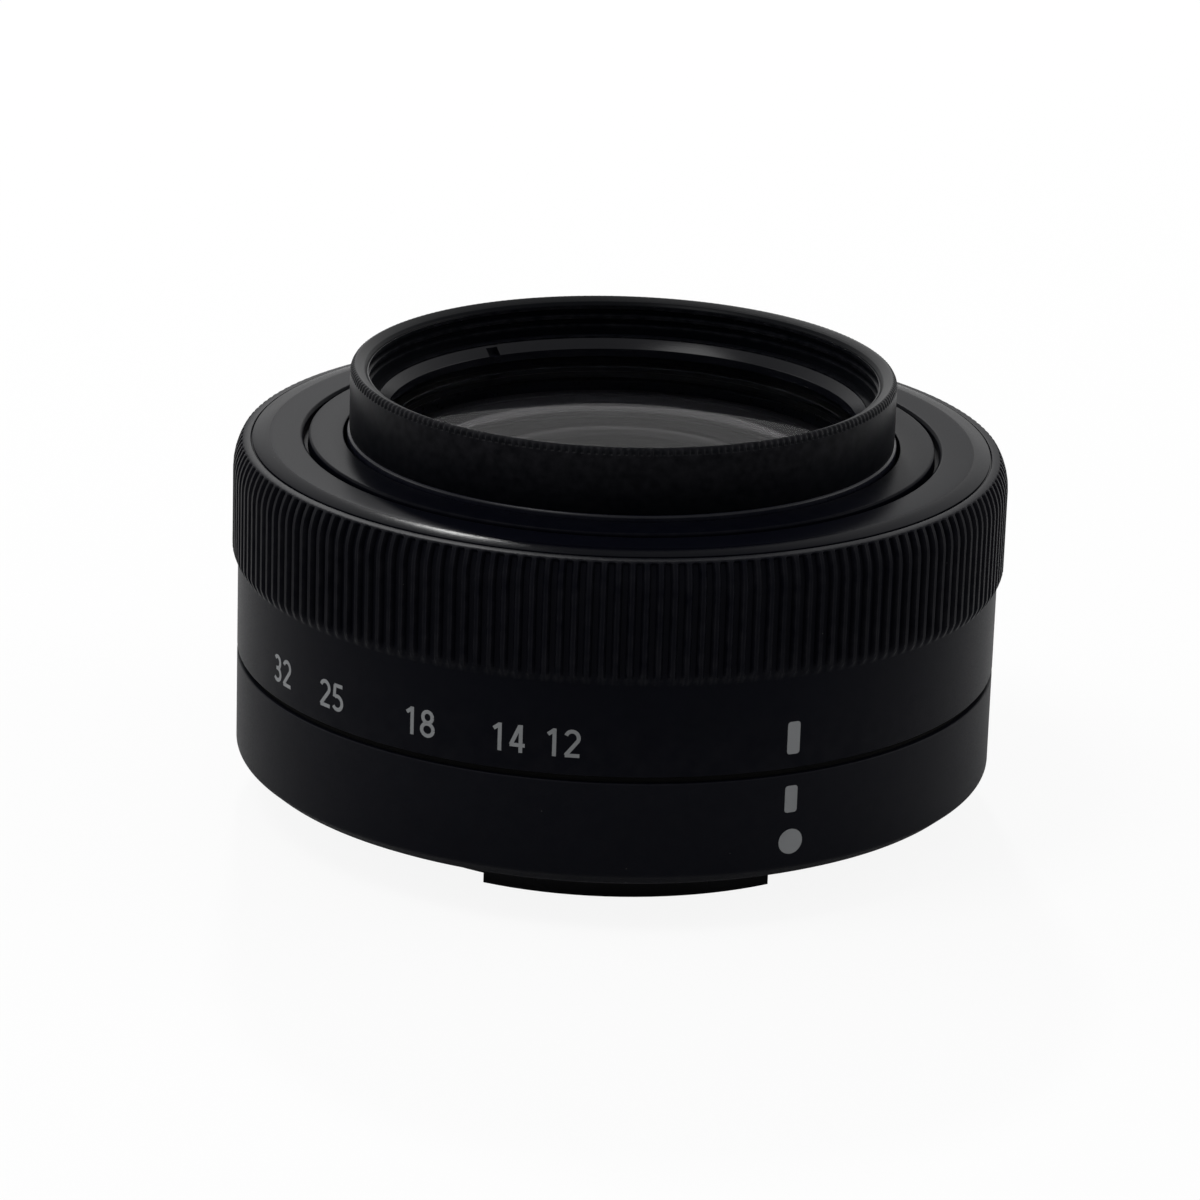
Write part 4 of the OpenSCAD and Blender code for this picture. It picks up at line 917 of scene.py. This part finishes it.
class LENS_OT_barrels(bpy.types.Operator):
    """Models the middle and inner barrels with their slots and the front thread"""

    bl_idname = "lens.barrels"
    bl_label = "Sliding barrels"

    def execute(self, context):
        outer = reach("middle_barrel")
        bore, lip = outer - MIDDLE_WALL, outer - MIDDLE_LIP
        self.model_middle(context.scene.lens_sizes, outer, bore, lip)
        self.model_inner(context.scene.lens_sizes, outer, bore, lip)
        return {"FINISHED"}

    def model_middle(self, sizes, outer, bore, lip):
        """The middle barrel, with its slots and notches."""
        low, high = bottom("middle_barrel"), top("middle_barrel")
        outline = eased([
            (bore, low, 0),
            (outer, low, 0),
            (outer, high, 0.2),
            (lip, high, sizes.edge_ease / MM),
            (lip, high - LIP_HEIGHT, 0),
            (bore, high - LIP_HEIGHT, 0),
        ])
        middle = turned("middle_barrel_turned", outline, sizes.spin_steps)
        cut_round(middle, [
            (angle + third, width, bore - CUT_OVER, outer + CUT_OVER, low - CUT_OVER, height)
            for angle, width, height in (SLOT, NOTCH) for third in THIRDS])
        note_wear(middle)
        dress(middle, "cover", "middle_barrel", ["middle_barrel"])

    def model_inner(self, sizes, outer, bore, lip):
        """The inner barrel, with its notches and the ridges of the front thread."""
        rim, low, high = lip - LIP_PLAY, bottom("inner_barrel"), top("inner_barrel")
        tube_bore = rim - TUBE_WALL
        flange, flange_high = bore - SLEEVE_PLAY, PIN_HEIGHT + PIN_COVER
        thread, land = rim - THREAD_IN, rim - LAND_IN
        shelf, cell = high - SHELF_DOWN, reach("front_cell") - CELL_WALL
        corners = [
            (tube_bore, low, 0),
            (flange, low, 0),
            (flange, flange_high, 0),
            (rim, flange_high, 0),
            (rim, high - 0.12, 0.06),
            (rim - 0.12, high, 0.05),
            (thread, high, 0.06),
        ]
        ridges = ridges_of(high, top("front_ring"), sizes.thread_pitch / MM, thread, land)
        corners += [(r, z, RIDGE_EASE if r == land else 0) for r, z in ridges]
        corners += [
            (land, shelf + SHELF_THICK, 0),
            (cell, shelf + SHELF_THICK, 0),
            (cell, shelf, 0),
            (tube_bore, shelf, 0),
        ]
        inner = turned("inner_barrel_turned", eased(corners), sizes.spin_steps)
        angle, width, height = NOTCH
        cut_round(inner, [
            (angle + third, width, tube_bore - CUT_OVER, outer, low - CUT_OVER, height)
            for third in THIRDS])
        note_wear(inner)
        dress(inner, "inner", "inner_barrel", ["inner_barrel"])


class LENS_OT_front_group(bpy.types.Operator):
    """Models the flat ring around the front lens and the front lens"""

    bl_idname = "lens.front_group"
    bl_label = "Front ring and lens"

    def execute(self, context):
        sizes = context.scene.lens_sizes
        outer, low, high = extent("front_ring")
        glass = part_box("first_lens")
        edge, glass_low, glass_top = glass[1].y / MM, glass[0].z / MM, glass[1].z / MM
        shown = outer - RING_FACE
        inner, groove = shown + RING_PLAY, outer - GROOVE_FROM_EDGE
        outline = eased([
            (inner, low, 0),
            (outer, low, 0),
            (outer, high, 0.1),
            (groove + GROOVE_HALF, high, 0.03),
            (groove + GROOVE_HALF / 2, high - GROOVE_DEPTH, 0),
            (groove - GROOVE_HALF / 2, high - GROOVE_DEPTH, 0),
            (groove - GROOVE_HALF, high, 0.03),
            (inner + 0.3, high, 0.06),
            (inner, high - 0.25, 0),
        ])
        ring = turned("front_ring_turned", outline, sizes.spin_steps)
        note_wear(ring)
        dress(ring, "matt_ring", "inner_barrel", ["front_ring"])

        bulge = glass_top - high
        ball = (shown ** 2 + bulge ** 2) / (2 * bulge)
        bore = edge - LENS_SEAT
        outline = dome(shown, ball, glass_top, range(LENS_STEPS + 1))
        outline += [Vector((shown, low)), Vector((edge, low)), Vector((edge, glass_low))]
        outline += dome(bore, REAR_CURVE * bore, glass_top - LENS_THICK, range(LENS_STEPS, -1, -1))
        lens = turned("front_lens_ground", outline, sizes.spin_steps)
        dress(lens, "front_glass", "inner_barrel", ["first_lens"])
        return {"FINISHED"}


class LENS_OT_filter(bpy.types.Operator):
    """Models the filter's knurled frame, its glass and its retaining ring"""

    bl_idname = "lens.filter"
    bl_label = "Filter"

    def execute(self, context):
        sizes = context.scene.lens_sizes
        glass, glass_low, glass_high = extent("filter_glass")
        pane_high = glass_high - PANE_LOWERED
        frame_ring = ribbed("filter_frame_knurled", sizes.knurl_count, KNURL_COLUMNS,
                            self.rows(sizes, glass, glass_low))
        note_wear(frame_ring)
        dress(frame_ring, "filter", "filter", ["filter_frame"])

        edge = glass - PANE_PLAY
        disc = eased([
            (0, glass_low, 0),
            (edge, glass_low, PANE_EASE),
            (edge, pane_high, PANE_EASE),
            (0, pane_high, 0),
        ], closed=False)
        pane = turned("filter_glass_ground", disc, sizes.spin_steps)
        dress(pane, "filter_glass", "filter", ["filter_glass"])

        ring_low, ring_high = pane_high + PANE_PLAY, top("filter_retainer")
        outline = eased([
            (glass - RETAINER_WIDTH, ring_low, RETAINER_EASE),
            (edge, ring_low, 0),
            (edge, ring_high, RETAINER_EASE),
            (glass - RETAINER_WIDTH, ring_high - RETAINER_SLOPE, RETAINER_EASE),
        ])
        retainer = turned("filter_retainer_turned", outline, sizes.spin_steps)
        cut_round(retainer, [
            (angle, SPANNER_WIDTH, glass - 1.2, glass - 0.15, ring_high - 0.7, ring_high + 0.5)
            for angle in SPANNER_ANGLES])
        note_wear(retainer)
        dress(retainer, "retainer", "filter", ["filter_retainer"])
        return {"FINISHED"}

    def rows(self, sizes, glass, glass_low):
        """Rows of the frame, up the outside, over the rim and down the thread to the seat."""
        depth = sizes.knurl_depth / MM
        outer, low, high = extent("filter_frame")
        seat, ledge, spigot = top("inner_barrel"), glass - LEDGE_IN, glass + SPIGOT_OUT
        thread, land = outer - FILTER_THREAD_IN, outer - FILTER_LAND_IN
        thread_foot = top("filter_retainer") + THREAD_FOOT
        knurl_low, knurl_high = high - KNURL_TALL, high - 0.06
        rows = plain(eased([
            (ledge, low, 0.06),
            (spigot, low, 0.1),
            (spigot, seat, 0),
            (outer, seat, sizes.edge_ease / MM),
            (outer, high, 0),
        ], closed=False)[:-1])
        rows += [
            (outer, outer, knurl_low - 0.02),
            (outer, outer - depth, knurl_low + 0.06),
            (outer - 0.04, outer - depth - 0.02, high - 0.3),
            (outer - 0.14, outer - depth - 0.1, high - 0.12),
            (outer - 0.3, outer - 0.33, knurl_high + 0.04),
        ]
        rows += plain(eased([
            (outer - 0.3, high - 0.05, 0),
            (outer - 0.36, high, 0.03),
            (thread, high - 0.28, 0.06),
            (thread - 0.2, high - 0.48, 0.06),
            (thread - 0.2, seat, 0),
        ], closed=False)[1:-1])
        ridges = ridges_of(high, thread_foot, sizes.thread_pitch / MM, thread, land)
        rows += [(r, r, z) for r, z in ridges if z < high - KNURL_TALL]
        rows += plain(eased([
            (land, thread_foot, 0),
            (glass, thread_foot, 0),
            (glass, glass_low, 0),
            (ledge, glass_low, 0.12),
            (ledge, glass_low - 0.45, 0.05),
            (ledge + 0.12, glass_low - 0.5, 0),
            (ledge + 0.12, low, 0),
        ], closed=False))
        rows.append(rows[0])
        return rows


class LENS_OT_flex_circuit(bpy.types.Operator):
    """Models the flexible circuit as one curved strip that doesn't move; the real one stretches as
    the second group slides
    """

    bl_idname = "lens.flex_circuit"
    bl_label = "Flexible circuit"

    def execute(self, context):
        low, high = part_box("flex_circuit")
        outer = high.y / math.sin(math.radians(FLEX_START))
        radius = outer - FLEX_THICK * 3 / 4
        clear_selection()
        bpy.ops.mesh.primitive_grid_add(
            x_subdivisions=FLEX_COLUMNS, y_subdivisions=FLEX_ROWS, size=1, location=(0, 0, 0))
        strip = named("flex_circuit_strip")
        edit_all()
        bpy.ops.transform.resize(value=(radius * math.radians(FLEX_SWEEP), high.z - low.z, 1))
        raised(strip, FLEX_THICK, radius, FLEX_START + FLEX_SWEEP / 2, (low.z + high.z) / 2)
        paint(strip, "flex")
        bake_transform(strip)
        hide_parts("flex_circuit")
        return {"FINISHED"}


class LENS_OT_kept_nodes(bpy.types.Operator):
    """Gives the CAD nodes their finishes"""

    bl_idname = "lens.kept_nodes"
    bl_label = "Mount and inner pieces"

    def execute(self, context):
        by_slot = {
            "mount_metal": "mount",
            "screw_steel": "screw",
            "contact_gold": "gold",
            "black_plastic": "plastic",
            "board": "board",
            "black_metal": "barrel",
            "seal": "felt",
            "filter_metal": "filter",
            "bright_steel": "steel",
            "pin_plastic": "pins",
            "iris_steel": "blade",
            "copper": "copper",
            "lens_glass": "lens_glass",
        }
        slots = {part["node"]: part["material_slot"] for part in frame["record"]["subparts"]}
        for name, node in frame["nodes"].items():
            paint(node, by_slot[slots[name]])
        return {"FINISHED"}


class LENS_OT_stage(bpy.types.Operator):
    """Sets the floor, the light, the sky and the camera"""

    bl_idname = "lens.stage"
    bl_label = "Stage"

    def execute(self, context):
        stage = context.scene.lens_stage
        self.lay_floor(context)
        self.light_sky(context, stage.sky)
        for name, place, size, strength in LAMPS:
            self.hang_lamp(name, Vector(place), size, getattr(stage, strength))
        self.aim_camera(context, stage)
        context.scene.view_settings.view_transform = "Standard"
        return {"FINISHED"}

    def lay_floor(self, context):
        """A pale floor that the camera sees almost white."""
        clear_selection()
        bpy.ops.mesh.primitive_plane_add(size=FLOOR_SIZE, location=(0, 0, cad_box[0].z))
        floor = named("floor")
        finish, tree, shader, place = new_finish("floor_pale")
        shade = context.scene.lens_colours.floor
        grain = put_group(tree, "fine_grain", place, Scale=FLOOR_GRAIN)
        colours = mix_colours(tree, grain["Patches"], shaded(shade, 0.99), shaded(shade, 1.01))
        tree.links.new(colours, shader.inputs["Base Color"])
        shader.inputs["Roughness"].default_value = FLOOR_ROUGH
        shader.inputs["Specular IOR Level"].default_value = FLOOR_GLOSS
        seen = put(tree, "ShaderNodeEmission", {"Color": WHITE, "Strength": 1.0})
        rays = put(tree, "ShaderNodeLightPath").outputs
        share = maths(tree, "MULTIPLY", rays["Is Camera Ray"], FLOOR_WHITE)
        mixed = put(tree, "ShaderNodeMixShader",
                    {0: share, 1: shader.outputs[0], 2: seen.outputs[0]})
        tree.links.new(mixed.outputs[0], tree.nodes["Material Output"].inputs["Surface"])
        floor.data.materials.append(finish)

    def light_sky(self, context, strength):
        """An even sky that looks white to the camera, in reflections and through glass."""
        world = bpy.data.worlds.new("studio")
        world.use_nodes = True
        tree = world.node_tree
        tree.nodes.clear()
        even = put(tree, "ShaderNodeBackground", {"Color": WHITE, "Strength": strength})
        pale = put(tree, "ShaderNodeBackground", {"Color": WHITE, "Strength": 1.0})
        rays = put(tree, "ShaderNodeLightPath").outputs
        either = maths(tree, "MAXIMUM", rays["Is Camera Ray"], rays["Is Glossy Ray"])
        seen = maths(tree, "MAXIMUM", either, rays["Is Transmission Ray"])
        mixed = put(tree, "ShaderNodeMixShader",
                    {0: seen, 1: even.outputs[0], 2: pale.outputs[0]})
        put(tree, "ShaderNodeOutputWorld", {"Surface": mixed.outputs[0]})
        context.scene.world = world

    def hang_lamp(self, name, place, size, energy):
        """An area lamp that faces the origin."""
        clear_selection()
        bpy.ops.object.light_add(type="AREA", location=place)
        lamp = named(name)
        lamp.data.size = size
        lamp.data.energy = energy
        lamp.visible_transmission = False
        lamp.rotation_euler = (-place).to_track_quat("-Z", "Y").to_euler()

    def aim_camera(self, context, stage):
        """The camera at its place, tilted and rolled."""
        clear_selection()
        bpy.ops.object.camera_add(location=stage.camera_place)
        camera = named("camera")
        tilt = Matrix.Rotation(math.pi / 2 - stage.camera_tilt, 3, "X")
        roll = Matrix.Rotation(stage.camera_roll, 3, "Z")
        camera.rotation_euler = (tilt @ roll).to_euler()
        camera.data.lens = stage.focal_length
        camera.data.sensor_width = SENSOR_WIDTH
        camera.data.clip_start = CLIP_START
        context.scene.camera = camera


class LENS_PT_panel(bpy.types.Panel):
    """Lists the lens's sizes, colours and steps"""

    bl_label = "Camera zoom lens"
    bl_idname = "LENS_PT_panel"
    bl_space_type = "VIEW_3D"
    bl_region_type = "UI"
    bl_category = "Lens"

    def draw(self, context):
        scene = context.scene
        for group in (scene.lens_sizes, scene.lens_colours, scene.lens_stage):
            box = self.layout.box()
            for key in group.__annotations__:
                box.prop(group, key)
        for operator in OPERATORS:
            self.layout.operator(operator.bl_idname)


GROUPS = (LensSizes, LensColours, LensStage)
OPERATORS = (
    LENS_OT_base_ring,
    LENS_OT_zoom_ring,
    LENS_OT_front_cover,
    LENS_OT_barrels,
    LENS_OT_front_group,
    LENS_OT_filter,
    LENS_OT_flex_circuit,
    LENS_OT_kept_nodes,
    LENS_OT_stage,
)


def register():
    for made in (*GROUPS, *OPERATORS, LENS_PT_panel):
        bpy.utils.register_class(made)
    bpy.types.Scene.lens_sizes = bpy.props.PointerProperty(type=LensSizes)
    bpy.types.Scene.lens_colours = bpy.props.PointerProperty(type=LensColours)
    bpy.types.Scene.lens_stage = bpy.props.PointerProperty(type=LensStage)


def unregister():
    del bpy.types.Scene.lens_stage
    del bpy.types.Scene.lens_colours
    del bpy.types.Scene.lens_sizes
    for made in reversed((*GROUPS, *OPERATORS, LENS_PT_panel)):
        bpy.utils.unregister_class(made)


def main():
    register()
    bpy.ops.lens.kept_nodes()
    bpy.ops.lens.base_ring()
    bpy.ops.lens.zoom_ring()
    bpy.ops.lens.front_cover()
    bpy.ops.lens.barrels()
    bpy.ops.lens.front_group()
    bpy.ops.lens.filter()
    bpy.ops.lens.flex_circuit()
    bpy.ops.lens.stage()
    clear_selection()


if __name__ == "__main__":
    main()
